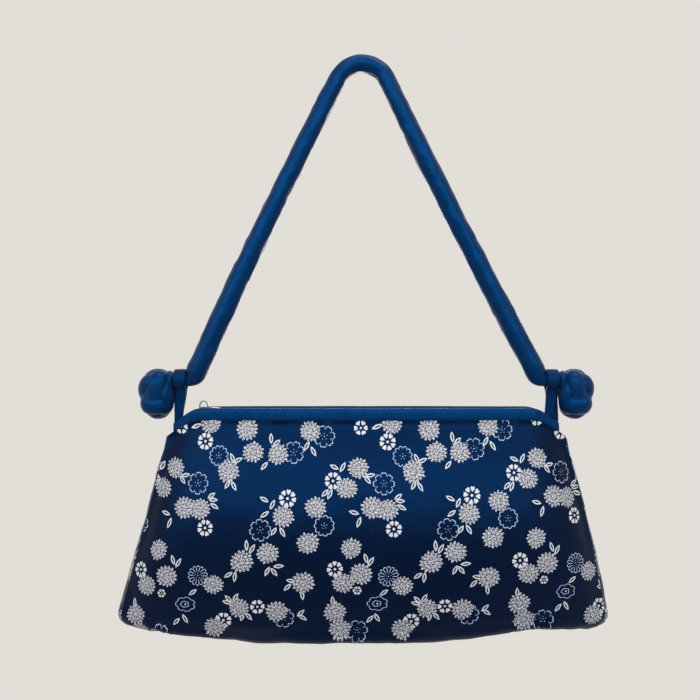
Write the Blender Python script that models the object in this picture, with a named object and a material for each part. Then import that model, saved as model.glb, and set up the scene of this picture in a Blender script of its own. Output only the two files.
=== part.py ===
"""Small zip-top shoulder bag in flowered satin, hanging by its padded tube handle.

Units are metres and +Z is up. The front faces -Y, and +X is the right of the front.
The origin is the hang point, on the underside of the handle's top bend.
"""
import functools
import math

import bmesh
import bpy
from mathutils import Vector
from mathutils.geometry import delaunay_2d_cdt

# Clearances
CLEARANCE = 0.0003            # between sewn or seated pieces
NECK_CLEARANCE = 0.00045      # between the handle's neck and what goes round it

# Hanging
HANG_OFFSET = 0.0025          # the hang point lies this far left of the bag's middle
BODY_LEAN = -0.0020           # how far the base hangs to the right of the top edge
BODY_LEAN_SHARE = 0.4         # share of the height where the lean begins

# Handle: a padded tube over the hang point, thinned to a neck at both ends
NECK_DROP = 0.190             # hang point down to the axis of both necks
TOP_BEND_RADIUS = 0.017       # centreline of the top bend
TUBE_RADIUS_TOP = 0.0056
TUBE_RADIUS_LEG = 0.0062
TUBE_RADIUS_LOW = 0.0067
NECK_RADIUS = 0.0045
NECK_BEND_RADIUS = 0.006
NECK_TAPER = 0.030            # length over which the tube thins to its neck
NECK_DIP = math.radians(40)   # how steeply the neck dives into its knot

# Loops that carry the bag on the necks
LOOP_WIDTH = 0.0075
LOOP_THICKNESS = 0.0018
LOOP_INSET = 0.005            # from the bag's top corner in to the loop
LOOP_LEG_GAP = 0.0004         # between the two legs under the neck
LOOP_FILLET = 0.005           # bend where a leg leaves the neck
LOOP_ROOT = 0.0017            # how far the legs reach below the bag's top corner

# Knots: wrapped buttons that stop the necks
KNOT_RADIUS = 0.0111
KNOT_HALF_HEIGHT = 0.0155
KNOT_DROP = 0.0087            # neck axis down to the knot's centre
KNOT_TILT = math.radians(40)  # the knot's axis, up from level towards the neck
KNOT_WRAPS = 3
KNOT_BIGHTS = 4
KNOT_LATITUDE = math.radians(52)
KNOT_STRAND = math.radians(27)  # half width of one strand seen from the centre
KNOT_STRAND_RISE = 0.045        # share of the radius that a strand climbs over another
KNOT_STRAND_ROUND = 0.17        # share of the radius that a strand's edge falls away

# Body: a soft shell, slack at the belly and rolled under at the base
BAG_DROP = 0.0243             # neck axis down to the panels' top edge
BODY_HEIGHT = 0.1300          # top edge down to the base seam, at the middle
HALF_WIDTH_TOP = 0.1235
HALF_WIDTH_LOW = 0.1523
HALF_DEPTH_TOP = 0.012
HALF_DEPTH_BELLY = 0.033
HALF_DEPTH_LOW = 0.024
BELLY_SHARE = 0.62            # share of the height where the bag is fullest
LOWER_ROUND = 0.010           # radius of the roll above the base seam
ROUNDNESS_TOP = 2.35          # exponent of the plan's superellipse
ROUNDNESS_LOW = 3.2
TOP_FLAT_SHARE = 0.810        # share of the half width where the top edge is level
TOP_CORNER_DROP = 0.011
TOP_CORNER_CURVE = 1.6
BASE_RISE = 0.0042            # how far the base seam lifts towards the ends
BASE_RISE_LEFT = (0.35, 0.90)   # shares of the half width over which it lifts
BASE_RISE_RIGHT = (0.15, 0.62)
BASE_NOTCH = 0.0028           # extra lift where the cloth is creased on the right
BASE_NOTCH_SHARE = 0.70
BASE_NOTCH_SPREAD_SHARE = 0.13
BASE_SAG = 0.004              # how far the base hangs below its seam
SEAM_TOP_SHARE = 0.985        # share of the half width where a side seam lies
SEAM_LOW_SHARE = 0.97
CLOTH_THICKNESS = 0.0012

# Lining: a thin sack that hangs inside from the bindings
LINING_INSET = 0.0030
LINING_THICKNESS = 0.0006
LINING_TOP_SHARE = 0.885      # width of its mouth as a share, clear of the loops' roots
LINING_REACH_SHARE = 0.30     # share of the height over which it widens

# Bindings: padded rolls along the two top edges
BINDING_HEIGHT = 0.007
BINDING_END_HEIGHT = 0.0050
BINDING_THICKNESS = 0.0042
BINDING_PROUD = 0.0004        # how far the roll stands out from the panel
BINDING_ROUND = 0.7           # exponent of its section, 1 for a plain oval
BINDING_END_SHARE = 0.955     # share of the half width where a binding ends
BINDING_TAPER_SHARE = 0.84    # share of the half width where it starts to thin

# Zip
ZIP_END_GAP = 0.0035          # from the end of the tape out to a loop
TAPE_THICKNESS = 0.0008
TAPE_DEPTH = 0.0046           # binding top down to the middle of the tape
SLIT_HALF = 0.0005            # half the slit that the slider's post runs in
COIL_WIDTH = 0.0021
COIL_HEIGHT = 0.0018
STOP_LENGTH = 0.0017
SLIDER_HALF_LENGTH = 0.004
SLIDER_PLATE = 0.0010
SLIDER_UNDER_PLATE = 0.0008
SLIDER_FLANGE = 0.00045
SLIDER_POST_HALF = 0.0002
SLIDER_POST_LENGTH = 0.002
SLIDER_POST_INSET = 0.0007
CROWN_HALF_LENGTH = 0.003
CROWN_HEIGHT = 0.0051
CROWN_THICKNESS = 0.0008
CROWN_HALF_WIDTH = 0.0006
PULL_BAR_RADIUS = 0.00055
PULL_LENGTH = 0.0105
PULL_WINDOW = 0.0050
PULL_HALF_WIDTH = 0.0020
PULL_ARM = 0.0008
PULL_THICKNESS = 0.0008
PULL_REST_TILT = math.radians(6)

# Woven figure: chrysanthemum heads in one repeat of the cloth, across and down
REPEAT = 0.1075
HEAD_RADIUS = 0.0066
HEAD_SIDES = 6
HEAD_PLACES_MM = (
    (-92, 2), (-70, 5), (-66, 18), (-52, 19), (-34, 6), (-80, 29), (-5, 27), (-12, 38),
    (3, 49), (12, 50), (-48, 54), (-30, 49), (-34, 69), (-9, 72), (-13, 92), (-3, 87),
    (-86, 94), (-70, 80), (-56, 75), (-36, 92), (-17, 110), (-71, 108), (-50, 110),
    (-85, 121), (-14, 121),
)
BACK_FIGURE_SHIFT = 0.045     # the back is cut further along the cloth

# How finely the soft pieces are faceted
PANEL_COLUMNS = 11
PANEL_ROWS = 6
ROLL_ROWS = 3
GUSSET_COLUMNS = 4
TUBE_SIDES = 12
TUBE_STEP = 0.012
BINDING_SIDES = 10
TAPE_COLUMNS = 10
LOOP_WRAP_STEPS = 7
LOOP_FILLET_STEPS = 3
KNOT_SEGMENTS = 28
KNOT_RINGS = 16

# Places worked out from the sizes above
BINDING_TOP_Z = -(NECK_DROP + BAG_DROP) + CLEARANCE + BINDING_HEIGHT
PANEL_TOP_Z = -(NECK_DROP + BAG_DROP)
LOOP_OUTER_X = HALF_WIDTH_TOP - LOOP_INSET
LOOP_INNER_X = LOOP_OUTER_X - LOOP_WIDTH
ZIP_HALF_LENGTH = LOOP_INNER_X - ZIP_END_GAP
KNOT_CENTRE = Vector((LOOP_OUTER_X + CLEARANCE + KNOT_RADIUS, 0, -(NECK_DROP + KNOT_DROP)))
TAPE_Z = BINDING_TOP_Z - TAPE_DEPTH
TAPE_TOP_Z = TAPE_Z + TAPE_THICKNESS / 2
COIL_Z = TAPE_TOP_Z + CLEARANCE
COIL_TOP_Z = COIL_Z + COIL_HEIGHT
COIL_LEFT = -(ZIP_HALF_LENGTH - 2 * STOP_LENGTH)
COIL_RIGHT = ZIP_HALF_LENGTH - 2 * STOP_LENGTH - 2 * CLEARANCE - STOP_LENGTH
SLIDER_X = COIL_LEFT + SLIDER_HALF_LENGTH - CLEARANCE
PLATE_Z = COIL_TOP_Z + CLEARANCE
PLATE_TOP_Z = PLATE_Z + SLIDER_PLATE
UNDER_PLATE_TOP_Z = TAPE_Z - TAPE_THICKNESS / 2 - CLEARANCE
PULL_Z = PLATE_TOP_Z + CLEARANCE + PULL_BAR_RADIUS


def mix(start, end, share):
    return start + (end - start) * share


def ramp(value, start, end):
    """0 before start, 1 after end, and an even S between them."""
    share = min(1.0, max(0.0, (value - start) / (end - start)))
    return share * share * (3 - 2 * share)


# Body shell
# Places here are measured across from the bag's middle. A point of the shell is named by
# its share c of the half width and by w, the length of cloth from the top edge to it.

def top_drop(c):
    beyond = max(0.0, abs(c) - TOP_FLAT_SHARE) / (1 - TOP_FLAT_SHARE)
    return TOP_CORNER_DROP * beyond ** TOP_CORNER_CURVE


def base_rise(c):
    start, end = BASE_RISE_RIGHT if c > 0 else BASE_RISE_LEFT
    notch = BASE_NOTCH * math.exp(-((c - BASE_NOTCH_SHARE) / BASE_NOTCH_SPREAD_SHARE) ** 2)
    return BASE_RISE * ramp(abs(c), start, end) + notch


def half_depth(level):
    if level < BELLY_SHARE:
        swell = math.sin(math.pi / 2 * level / BELLY_SHARE)
        return mix(HALF_DEPTH_TOP, HALF_DEPTH_BELLY, swell)
    swell = math.cos(math.pi / 2 * (level - BELLY_SHARE) / (1 - BELLY_SHARE))
    return mix(HALF_DEPTH_LOW, HALF_DEPTH_BELLY, swell)


def seam_share(share):
    return mix(SEAM_TOP_SHARE, SEAM_LOW_SHARE, share)


def cloth_length(c):
    """Length of cloth from the top edge to the base seam."""
    straight = BODY_HEIGHT - top_drop(c) - base_rise(c) - LOWER_ROUND
    return straight + LOWER_ROUND * math.pi / 2


def ring_at(c, w):
    """Half width, half depth, roundness, height and middle of the ring through a point."""
    tall = BODY_HEIGHT - top_drop(c) - base_rise(c)
    angle = min(math.pi / 2, max(0.0, (w - (tall - LOWER_ROUND)) / LOWER_ROUND))
    down = min(w, tall - LOWER_ROUND) + LOWER_ROUND * math.sin(angle)
    rolled = LOWER_ROUND * (1 - math.cos(angle))
    level = down / tall
    half_width = mix(HALF_WIDTH_TOP, HALF_WIDTH_LOW, level) - rolled
    roundness = mix(ROUNDNESS_TOP, ROUNDNESS_LOW, level)
    height = PANEL_TOP_Z - top_drop(c) - down
    middle = BODY_LEAN * ramp(level, BODY_LEAN_SHARE, 1)
    return half_width, half_depth(level) - rolled, roundness, height, middle


def wall_point(c, w):
    """A point on the front wall; the back wall is its mirror image in Y."""
    half_width, depth, roundness, height, middle = ring_at(c, w)
    y = depth * max(0.0, 1 - abs(c) ** roundness) ** (1 / roundness)
    return Vector((middle + half_width * c, -y, height))


def end_point(t, share, side):
    """A point on the left or right end wall, with t from the front seam at -1 to 1."""
    c = 1.0
    for _ in range(3):
        w = cloth_length(side * c) * share
        half_width, depth, roundness, height, middle = ring_at(side * c, w)
        seam_y = depth * (1 - seam_share(share) ** roundness) ** (1 / roundness)
        c = (1 - abs(t * seam_y / depth) ** roundness) ** (1 / roundness)
    return Vector((middle + side * half_width * c, t * seam_y, height))


@functools.lru_cache(maxsize=None)
def across_table(step):
    """Length of cloth across the front from the middle, at the level step / 60."""
    c_values = [math.sin(math.pi / 2 * i / 60) for i in range(61)]
    level = step / 60
    half_width, depth, roundness, _, _ = ring_at(0, level * cloth_length(0))
    lengths = [0.0]
    last = Vector((0, depth))
    for c in c_values[1:]:
        y = depth * max(0.0, 1 - c ** roundness) ** (1 / roundness)
        here = Vector((half_width * c, y))
        lengths.append(lengths[-1] + (here - last).length)
        last = here
    return c_values, lengths


def read_table(keys, values, key):
    low = 0
    high = len(keys) - 1
    while high - low > 1:
        middle = (low + high) // 2
        if keys[middle] <= key:
            low = middle
        else:
            high = middle
    return mix(values[low], values[high], (key - keys[low]) / (keys[high] - keys[low]))


def across(c, share):
    low = min(59, int(share * 60))
    found = [read_table(*across_table(low + i), abs(c)) for i in (0, 1)]
    return math.copysign(mix(found[0], found[1], share * 60 - low), c)


def c_from_across(length, share):
    low = min(59, int(share * 60))
    tables = [across_table(low + i) for i in (0, 1)]
    found = [read_table(lengths, c_values, abs(length)) for c_values, lengths in tables]
    return math.copysign(mix(found[0], found[1], share * 60 - low), length)


def flat_from_wall(c, share):
    """Where a point of the wall lies on the uncut cloth: across, and up from the top line."""
    return Vector((across(c, share), -(top_drop(c) + cloth_length(c) * share)))


def wall_from_flat(flat):
    """The wall's c and w for a point of the uncut cloth."""
    share = -flat.y / BODY_HEIGHT
    for _ in range(8):
        share = min(1.0, max(0.0, share))
        c = c_from_across(flat.x, share)
        share = (-flat.y - top_drop(c)) / cloth_length(c)
    return c, min(1.0, max(0.0, share)) * cloth_length(c)


def wall_normal(c, w):
    step = 1e-4
    aside = wall_point(c + step, w) - wall_point(c - step, w)
    length = cloth_length(c)
    upper = max(0.0, w - LOWER_ROUND * step * 10)
    lower = min(length, w + LOWER_ROUND * step * 10)
    along = wall_point(c, upper) - wall_point(c, lower)
    return aside.cross(along).normalized()


# Objects

def material(name, colour, roughness, metallic=0.0):
    made = bpy.data.materials.new(name)
    made.use_nodes = True
    shader = made.node_tree.nodes["Principled BSDF"]
    shader.inputs["Base Color"].default_value = (*colour, 1)
    shader.inputs["Roughness"].default_value = roughness
    shader.inputs["Metallic"].default_value = metallic
    made.diffuse_color = (*colour, 1)
    return made


def empty(name, place, parent=None):
    """An empty on a joint's axis; its place is measured across from the bag's middle."""
    made = bpy.data.objects.new(name, None)
    made.location = place - (parent["place"] if parent else Vector((-HANG_OFFSET, 0, 0)))
    made.empty_display_size = 0.02
    bpy.context.collection.objects.link(made)
    if parent:
        made.parent = parent["object"]
    return {"object": made, "place": place}


def finish_object(name, bm, materials, body, sharp_degrees=40):
    """Write a bmesh, measured like its body's place, to an object under that body."""
    bmesh.ops.recalc_face_normals(bm, faces=bm.faces)
    for vert in bm.verts:
        vert.co -= body["place"]
    mesh = bpy.data.meshes.new(name)
    bm.to_mesh(mesh)
    bm.free()
    mesh.shade_smooth()
    mesh.set_sharp_from_angle(angle=math.radians(sharp_degrees))
    for each in materials:
        mesh.materials.append(each)
    made = bpy.data.objects.new(name, mesh)
    bpy.context.collection.objects.link(made)
    made.parent = body["object"]
    return made


def sweep(name, rings, materials, body):
    """A closed solid through rings with equal numbers of points, capped at both ends."""
    bm = bmesh.new()
    loops = [[bm.verts.new(point) for point in ring] for ring in rings]
    for first, second in zip(loops, loops[1:]):
        for i in range(len(first)):
            j = (i + 1) % len(first)
            bm.faces.new((first[i], first[j], second[j], second[i]))
    bm.faces.new(loops[0])
    bm.faces.new(list(reversed(loops[-1])))
    return finish_object(name, bm, materials, body)


def thick_cloth(name, outer, normals, faces, thickness, materials, body, figure_faces=()):
    """A closed sheet: the outer face, the same face moved in by its thickness, and a rim."""
    bm = bmesh.new()
    upper = [bm.verts.new(point) for point in outer]
    lower = [bm.verts.new(point - normal * thickness) for point, normal in zip(outer, normals)]
    edges = set()
    for index, face in enumerate(faces):
        drawn = bm.faces.new([upper[i] for i in face])
        drawn.material_index = 1 if index in figure_faces else 0
        bm.faces.new([lower[i] for i in reversed(face)])
        edges.update(zip(face, face[1:] + face[:1]))
    for i, j in edges:
        if (j, i) not in edges:
            bm.faces.new((upper[j], upper[i], lower[i], lower[j]))
    return finish_object(name, bm, materials, body)


def cut_with(target, cutter):
    """Take the cutter's shape out of the target."""
    cutter.hide_render = True
    cutter.display_type = "WIRE"
    hole = target.modifiers.new("cut " + cutter.name, "BOOLEAN")
    hole.operation = "DIFFERENCE"
    hole.solver = "EXACT"
    hole.object = cutter


def join_with(target, addition):
    """Add another solid's shape to the target."""
    addition.hide_render = True
    addition.display_type = "WIRE"
    union = target.modifiers.new("add " + addition.name, "BOOLEAN")
    union.operation = "UNION"
    union.solver = "EXACT"
    union.object = addition


def block(name, low, high, materials, body):
    """A box between two corners."""
    bm = bmesh.new()
    bmesh.ops.create_cube(bm, size=1)
    for vert in bm.verts:
        vert.co = [mix(low[i], high[i], vert.co[i] + 0.5) for i in range(3)]
    return finish_object(name, bm, materials, body)


# Panels

def panel_shares():
    """Rows down a wall, closer together where it rolls under."""
    length = cloth_length(0)
    roll = LOWER_ROUND * math.pi / 2 / length
    rows = [mix(0, 1 - roll, i / PANEL_ROWS) for i in range(PANEL_ROWS)]
    return rows + [mix(1 - roll, 1, i / ROLL_ROWS) for i in range(ROLL_ROWS + 1)]


def panel_columns(limit):
    """Shares of the half width from side to side, closer together at the sides."""
    return [limit * math.sin(math.pi / 2 * i / PANEL_COLUMNS)
            for i in range(-PANEL_COLUMNS, PANEL_COLUMNS + 1)]


def head_outlines(shift):
    """Chrysanthemum heads on the uncut cloth, as plain polygons."""
    outlines = []
    for column in range(-2, 3):
        for across_mm, down_mm in HEAD_PLACES_MM:
            centre = Vector((across_mm / 1000 + column * REPEAT + shift, -down_mm / 1000))
            turns = [math.tau * i / HEAD_SIDES for i in range(HEAD_SIDES)]
            outlines.append([centre + HEAD_RADIUS * Vector((math.cos(t), math.sin(t)))
                             for t in turns])
    return outlines


def inside(outline, point):
    """Whether a flat point lies inside a closed outline."""
    crossings = False
    for a, b in zip(outline, outline[1:] + outline[:1]):
        if (a.y > point.y) != (b.y > point.y):
            if point.x < mix(a.x, b.x, (point.y - a.y) / (b.y - a.y)):
                crossings = not crossings
    return crossings


def wall_panel(name, side, shift, materials, body):
    """The front (side -1) or back (side 1) panel, with the woven heads in its outer face."""
    shares = panel_shares()
    seen = Vector((-side, 1))
    grid = [[flat_from_wall(-side * c, share) * seen for c in panel_columns(seam_share(share))]
            for share in shares]
    outline = grid[-1] + [row[-1] for row in reversed(grid[1:-1])]
    outline += list(reversed(grid[0])) + [row[0] for row in grid[1:-1]]
    heads = [head for head in head_outlines(shift)
             if any(inside(outline, point) for point in head)]
    inner = [point for row in grid[1:-1] for point in row[1:-1]
             if all((point - sum(head, Vector((0, 0))) / HEAD_SIDES).length > 1.25 * HEAD_RADIUS
                    for head in heads)]
    points = list(outline)
    polygons = [list(range(len(outline)))]
    for head in heads:
        polygons.append(list(range(len(points), len(points) + HEAD_SIDES)))
        points += head
    points += inner
    flat, _, triangles, _, _, origins = delaunay_2d_cdt(points, [], polygons, 0, 1e-6)
    faces = []
    figure_faces = set()
    for triangle, origin in zip(triangles, origins):
        if 0 in origin:
            if len(origin) > 1:
                figure_faces.add(len(faces))
            faces.append(list(triangle))
    used = sorted({i for face in faces for i in face})
    number = {old: new for new, old in enumerate(used)}
    faces = [[number[i] for i in face] for face in faces]
    places = [wall_from_flat(flat[i] * seen) for i in used]
    mirror = Vector((1, -side, 1))
    outer = [wall_point(c, w) * mirror for c, w in places]
    normals = [wall_normal(c, w) * mirror for c, w in places]
    return thick_cloth(name, outer, normals, faces, CLOTH_THICKNESS, materials, body,
                       figure_faces)


def grid_faces(rows, columns):
    """Faces of a grid whose points run along each row, and row after row."""
    return [[i * columns + j, i * columns + j + 1, (i + 1) * columns + j + 1,
             (i + 1) * columns + j]
            for i in range(rows - 1) for j in range(columns - 1)]


def gusset(name, side, materials, body):
    """The narrow wedge that closes one end, sewn between the front and back panels."""
    step = 1e-3
    outer = []
    normals = []
    shares = list(reversed(panel_shares()))
    for share in shares:
        limit = 1 - CLEARANCE / abs(end_point(1, share, side).y)
        upper = max(0, share - step)
        lower = min(1, share + step)
        for j in range(-GUSSET_COLUMNS, GUSSET_COLUMNS + 1):
            t = limit * j / GUSSET_COLUMNS
            aside = end_point(t + step, share, side) - end_point(t - step, share, side)
            along = end_point(t, upper, side) - end_point(t, lower, side)
            outer.append(end_point(t, share, side))
            normals.append(aside.cross(along).normalized() * side)
    faces = grid_faces(len(shares), 2 * GUSSET_COLUMNS + 1)
    return thick_cloth(name, outer, normals, faces, CLOTH_THICKNESS, materials, body)


def base_half_depth(x):
    half_width, depth, roundness, _, _ = ring_at(0, cloth_length(0))
    c = min(1.0, abs(x) / half_width)
    return depth * (1 - c ** roundness) ** (1 / roundness)


def base_height(x, y):
    """Height of the sagging base over a plan point."""
    half_width = HALF_WIDTH_LOW - LOWER_ROUND
    c = max(-1.0, min(1.0, x / half_width))
    edge = max(base_half_depth(x), CLEARANCE)
    sag = BASE_SAG * max(0.0, 1 - (y / edge) ** 2) * (1 - c * c)
    return PANEL_TOP_Z - BODY_HEIGHT + base_rise(c) - sag


def bottom_panel(materials, body):
    """The long base, sewn to the walls' lower edges and drawn from its own middle."""
    half_width = HALF_WIDTH_LOW - LOWER_ROUND
    middle = Vector((BODY_LEAN, 0, 0))
    shrink_x = 1 - CLEARANCE / half_width
    columns = panel_columns(seam_share(1))
    ends = [j / GUSSET_COLUMNS for j in range(-GUSSET_COLUMNS, GUSSET_COLUMNS + 1)]
    outline = []
    for end in (1, -1):
        outline += [end_point(t * end, 1, end) - middle for t in ends[1:-1]]
        outline += [Vector((-end * c * half_width, end * base_half_depth(c * half_width), 0))
                    for c in columns]
    plan = []
    for point in outline:
        inset = math.copysign(CLEARANCE, point.y) if abs(point.y) > 2 * CLEARANCE else 0.0
        plan.insert(0, Vector((point.x * shrink_x, -(point.y - inset))))
    inner = [Vector((c * half_width, s * base_half_depth(c * half_width)))
             for c in columns[1:-1] for s in (-0.6, 0.0, 0.6)]
    flat, _, triangles, _, _, origins = delaunay_2d_cdt(
        plan + inner, [], [list(range(len(plan)))], 0, 1e-6)
    faces = [list(triangle) for triangle, origin in zip(triangles, origins) if origin]
    step = 1e-4
    outer = []
    normals = []
    for point in flat:
        x, y = point.x, -point.y
        slope_x = (base_height(x + step, y) - base_height(x - step, y)) / (2 * step)
        slope_y = (base_height(x, y + step) - base_height(x, y - step)) / (2 * step)
        outer.append(middle + Vector((x, y, base_height(x, y))))
        normals.append(Vector((slope_x, slope_y, -1)).normalized())
    return thick_cloth("bottom_panel", outer, normals, faces, CLOTH_THICKNESS, materials, body)


def lining(materials, body):
    """A thin sack inside the panels, open at the top."""
    shares = list(reversed(panel_shares()))
    columns = panel_columns(0.995)
    turns = [(c, 1) for c in columns] + [(c, -1) for c in reversed(columns)]
    count = len(turns)
    outer = []
    normals = []
    for share in shares:
        narrow = mix(LINING_TOP_SHARE, 1, ramp(share, 0, LINING_REACH_SHARE))
        for c, side in turns:
            w = share * cloth_length(c)
            front = wall_normal(c, w)
            place = wall_point(c, w) - front * LINING_INSET
            mirror = Vector((narrow, side, 1))
            outer.append(place * mirror)
            normals.append(front * Vector((1, side, 1)))
    faces = []
    for i in range(len(shares) - 1):
        for j in range(count):
            after = (j + 1) % count
            faces.append([i * count + j, i * count + after,
                          (i + 1) * count + after, (i + 1) * count + j])
    for j in range(len(columns) - 1):
        faces.append([j + 1, j, count - 1 - j, count - 2 - j])
    return thick_cloth("lining", outer, normals, faces, LINING_THICKNESS, materials, body)


# Bindings and zip

def top_half_depth(x):
    c = min(1.0, abs(x) / HALF_WIDTH_TOP)
    return HALF_DEPTH_TOP * (1 - c ** ROUNDNESS_TOP) ** (1 / ROUNDNESS_TOP)


def binding_size(c):
    """Height and thickness of a binding, whose ends hold the legs of the loops."""
    share = ramp(abs(c), BINDING_TAPER_SHARE, BINDING_END_SHARE)
    legs = LOOP_LEG_GAP / 2 + LOOP_THICKNESS + CLEARANCE
    end_thickness = top_half_depth(BINDING_END_SHARE * HALF_WIDTH_TOP) + BINDING_PROUD - legs
    height = mix(BINDING_HEIGHT, BINDING_END_HEIGHT, share)
    return height, mix(BINDING_THICKNESS, end_thickness, share)


def binding_inner(x):
    """How far from the middle a binding's inner side lies."""
    return top_half_depth(x) + BINDING_PROUD - binding_size(x / HALF_WIDTH_TOP)[1]


def binding(name, side, materials, body):
    """A padded roll that sits on one panel's top edge."""
    columns = [c for c in panel_columns(seam_share(0)) if abs(c) < BINDING_END_SHARE]
    columns = [-BINDING_END_SHARE] + columns + [BINDING_END_SHARE]
    rings = []
    for c in columns:
        height, thickness = binding_size(c)
        x = c * HALF_WIDTH_TOP
        step = 1e-4
        slope = (top_half_depth(x + step) - top_half_depth(x - step)) / (2 * step)
        outward = Vector((-slope, 1)).normalized()
        middle = top_half_depth(x) + BINDING_PROUD - thickness / 2
        foot = PANEL_TOP_Z - top_drop(c) + CLEARANCE
        ring = []
        for i in range(BINDING_SIDES):
            angle = math.tau * (i + 0.5) / BINDING_SIDES
            aside, rise = math.cos(angle), math.sin(angle)
            out = thickness / 2 * math.copysign(abs(aside) ** BINDING_ROUND, aside)
            up = height / 2 * math.copysign(abs(rise) ** BINDING_ROUND, rise)
            ring.append(Vector((x + out * outward.x, side * (middle + out * outward.y),
                                foot + height / 2 + up)))
        rings.append(ring)
    return sweep(name, rings, materials, body)


def bar_ring(x, y_in, y_out, low, high):
    return [Vector((x, y_in, low)), Vector((x, y_out, low)),
            Vector((x, y_out, high)), Vector((x, y_in, high))]


def zip_tape(name, side, materials, body):
    """Half of the zip's tape, from the slit out to the binding."""
    low = TAPE_Z - TAPE_THICKNESS / 2
    rings = []
    for i in range(-TAPE_COLUMNS, TAPE_COLUMNS + 1):
        x = ZIP_HALF_LENGTH * math.sin(math.pi / 2 * i / TAPE_COLUMNS)
        edge = binding_inner(x) - CLEARANCE - BINDING_PROUD
        rings.append(bar_ring(x, side * SLIT_HALF, side * edge, low, TAPE_TOP_Z))
    return sweep(name, rings, materials, body)


def zip_coil(name, side, materials, body):
    """One half of the closed coil, a bar along the slit with chamfered upper edges."""
    chamfer = COIL_HEIGHT / 4
    near = side * SLIT_HALF
    far = side * (SLIT_HALF + COIL_WIDTH)
    inward = side * chamfer
    rings = [[Vector((x, near, COIL_Z)), Vector((x, far, COIL_Z)),
              Vector((x, far, COIL_TOP_Z - chamfer)), Vector((x, far - inward, COIL_TOP_Z)),
              Vector((x, near + inward, COIL_TOP_Z)), Vector((x, near, COIL_TOP_Z - chamfer))]
             for x in (COIL_LEFT, COIL_RIGHT)]
    return sweep(name, rings, materials, body)


def zip_stops(materials, body):
    """A top stop on each tape past the closed end, and one bottom stop over both."""
    left = COIL_LEFT - CLEARANCE - STOP_LENGTH
    for name, side in (("front", -1), ("back", 1)):
        near = side * SLIT_HALF
        far = side * (SLIT_HALF + COIL_WIDTH)
        block("zip_top_stop_" + name, (left, min(near, far), COIL_Z),
              (left + STOP_LENGTH, max(near, far), COIL_TOP_Z), materials, body)
    right = COIL_RIGHT + CLEARANCE
    half = SLIT_HALF + COIL_WIDTH
    block("zip_bottom_stop", (right, -half, COIL_Z), (right + STOP_LENGTH, half, COIL_TOP_Z),
          materials, body)


def arch_outline(half_length, height):
    """An arch that leans back a little, from its right foot over to its left foot."""
    shape = ((1.0, 0.0), (1.0, 0.35), (0.72, 0.80), (0.20, 1.0),
             (-0.45, 0.95), (-0.90, 0.62), (-1.0, 0.30), (-1.0, 0.0))
    return [(half_length * x, height * z) for x, z in shape]


def slider(materials, body):
    """Two plates joined by a post, with flanges beside the coil and a crown on top."""
    x = SLIDER_X
    half = SLIT_HALF + COIL_WIDTH + CLEARANCE
    wide = half + SLIDER_FLANGE
    plate = block("zip_slider", (x - SLIDER_HALF_LENGTH, -wide, PLATE_Z),
                  (x + SLIDER_HALF_LENGTH, wide, PLATE_TOP_Z), materials, body)
    sink = CLEARANCE / 2
    for name, side in (("front", -1), ("back", 1)):
        near, far = sorted((side * half, side * wide))
        flange = block("slider flange " + name,
                       (x - SLIDER_HALF_LENGTH, near, TAPE_TOP_Z + CLEARANCE),
                       (x + SLIDER_HALF_LENGTH, far, PLATE_Z + sink), materials, body)
        join_with(plate, flange)
    under = block("slider under plate",
                  (x - SLIDER_HALF_LENGTH, -wide, UNDER_PLATE_TOP_Z - SLIDER_UNDER_PLATE),
                  (x + SLIDER_HALF_LENGTH, wide, UNDER_PLATE_TOP_Z), materials, body)
    post_left = x - SLIDER_HALF_LENGTH + SLIDER_POST_INSET
    post = block("slider post",
                 (post_left, -SLIDER_POST_HALF, UNDER_PLATE_TOP_Z - sink),
                 (post_left + SLIDER_POST_LENGTH, SLIDER_POST_HALF, PLATE_Z + sink),
                 materials, body)
    outer = arch_outline(CROWN_HALF_LENGTH, CROWN_HEIGHT)
    inner = arch_outline(CROWN_HALF_LENGTH - CROWN_THICKNESS, CROWN_HEIGHT - CROWN_THICKNESS)
    outline = outer + list(reversed(inner))
    rings = []
    for y in (-CROWN_HALF_WIDTH, CROWN_HALF_WIDTH):
        rings.append([Vector((x + dx, y, PLATE_TOP_Z - sink + dz)) for dx, dz in outline])
    crown = sweep("slider crown", rings, materials, body)
    for addition in (under, post, crown):
        join_with(plate, addition)
    return plate


def pull(materials, body):
    """The tab: a round bar under the crown, two arms beside it and a plate beyond."""
    pivot = body["place"]
    reach = PULL_LENGTH
    half = PULL_HALF_WIDTH
    corner = PULL_ARM
    plate = [(0, -half), (reach - corner, -half), (reach, -half + corner),
             (reach, half - corner), (reach - corner, half), (0, half)]
    window = [(PULL_BAR_RADIUS, -half + PULL_ARM), (PULL_WINDOW, -half + PULL_ARM),
              (PULL_WINDOW, half - PULL_ARM), (PULL_BAR_RADIUS, half - PULL_ARM)]
    outlines = (("zip_pull", plate, PULL_THICKNESS / 2), ("pull window", window, PULL_THICKNESS))
    solids = []
    for name, outline, height in outlines:
        rings = [[pivot + Vector((x, y, z)) for x, y in outline]
                 for z in (-height, height)]
        solids.append(sweep(name, rings, materials, body))
    cut_with(solids[0], solids[1])
    turns = [math.tau * i / 8 for i in range(8)]
    rings = [[pivot + Vector((PULL_BAR_RADIUS * math.cos(t), y,
                              PULL_BAR_RADIUS * math.sin(t))) for t in turns]
             for y in (-half, half)]
    join_with(solids[0], sweep("pull bar", rings, materials, body))
    for solid in solids:
        solid.rotation_euler.y = PULL_REST_TILT
    return solids[0]


# Handle, loops and knots

def arc(centre, radius, start, end, step):
    """Points of an arc in the XZ plane, with angles from +X towards +Z."""
    count = max(2, math.ceil(abs(end - start) * radius / step))
    return [centre + radius * Vector((math.cos(a), 0, math.sin(a)))
            for a in (mix(start, end, i / count) for i in range(count + 1))]


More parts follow.
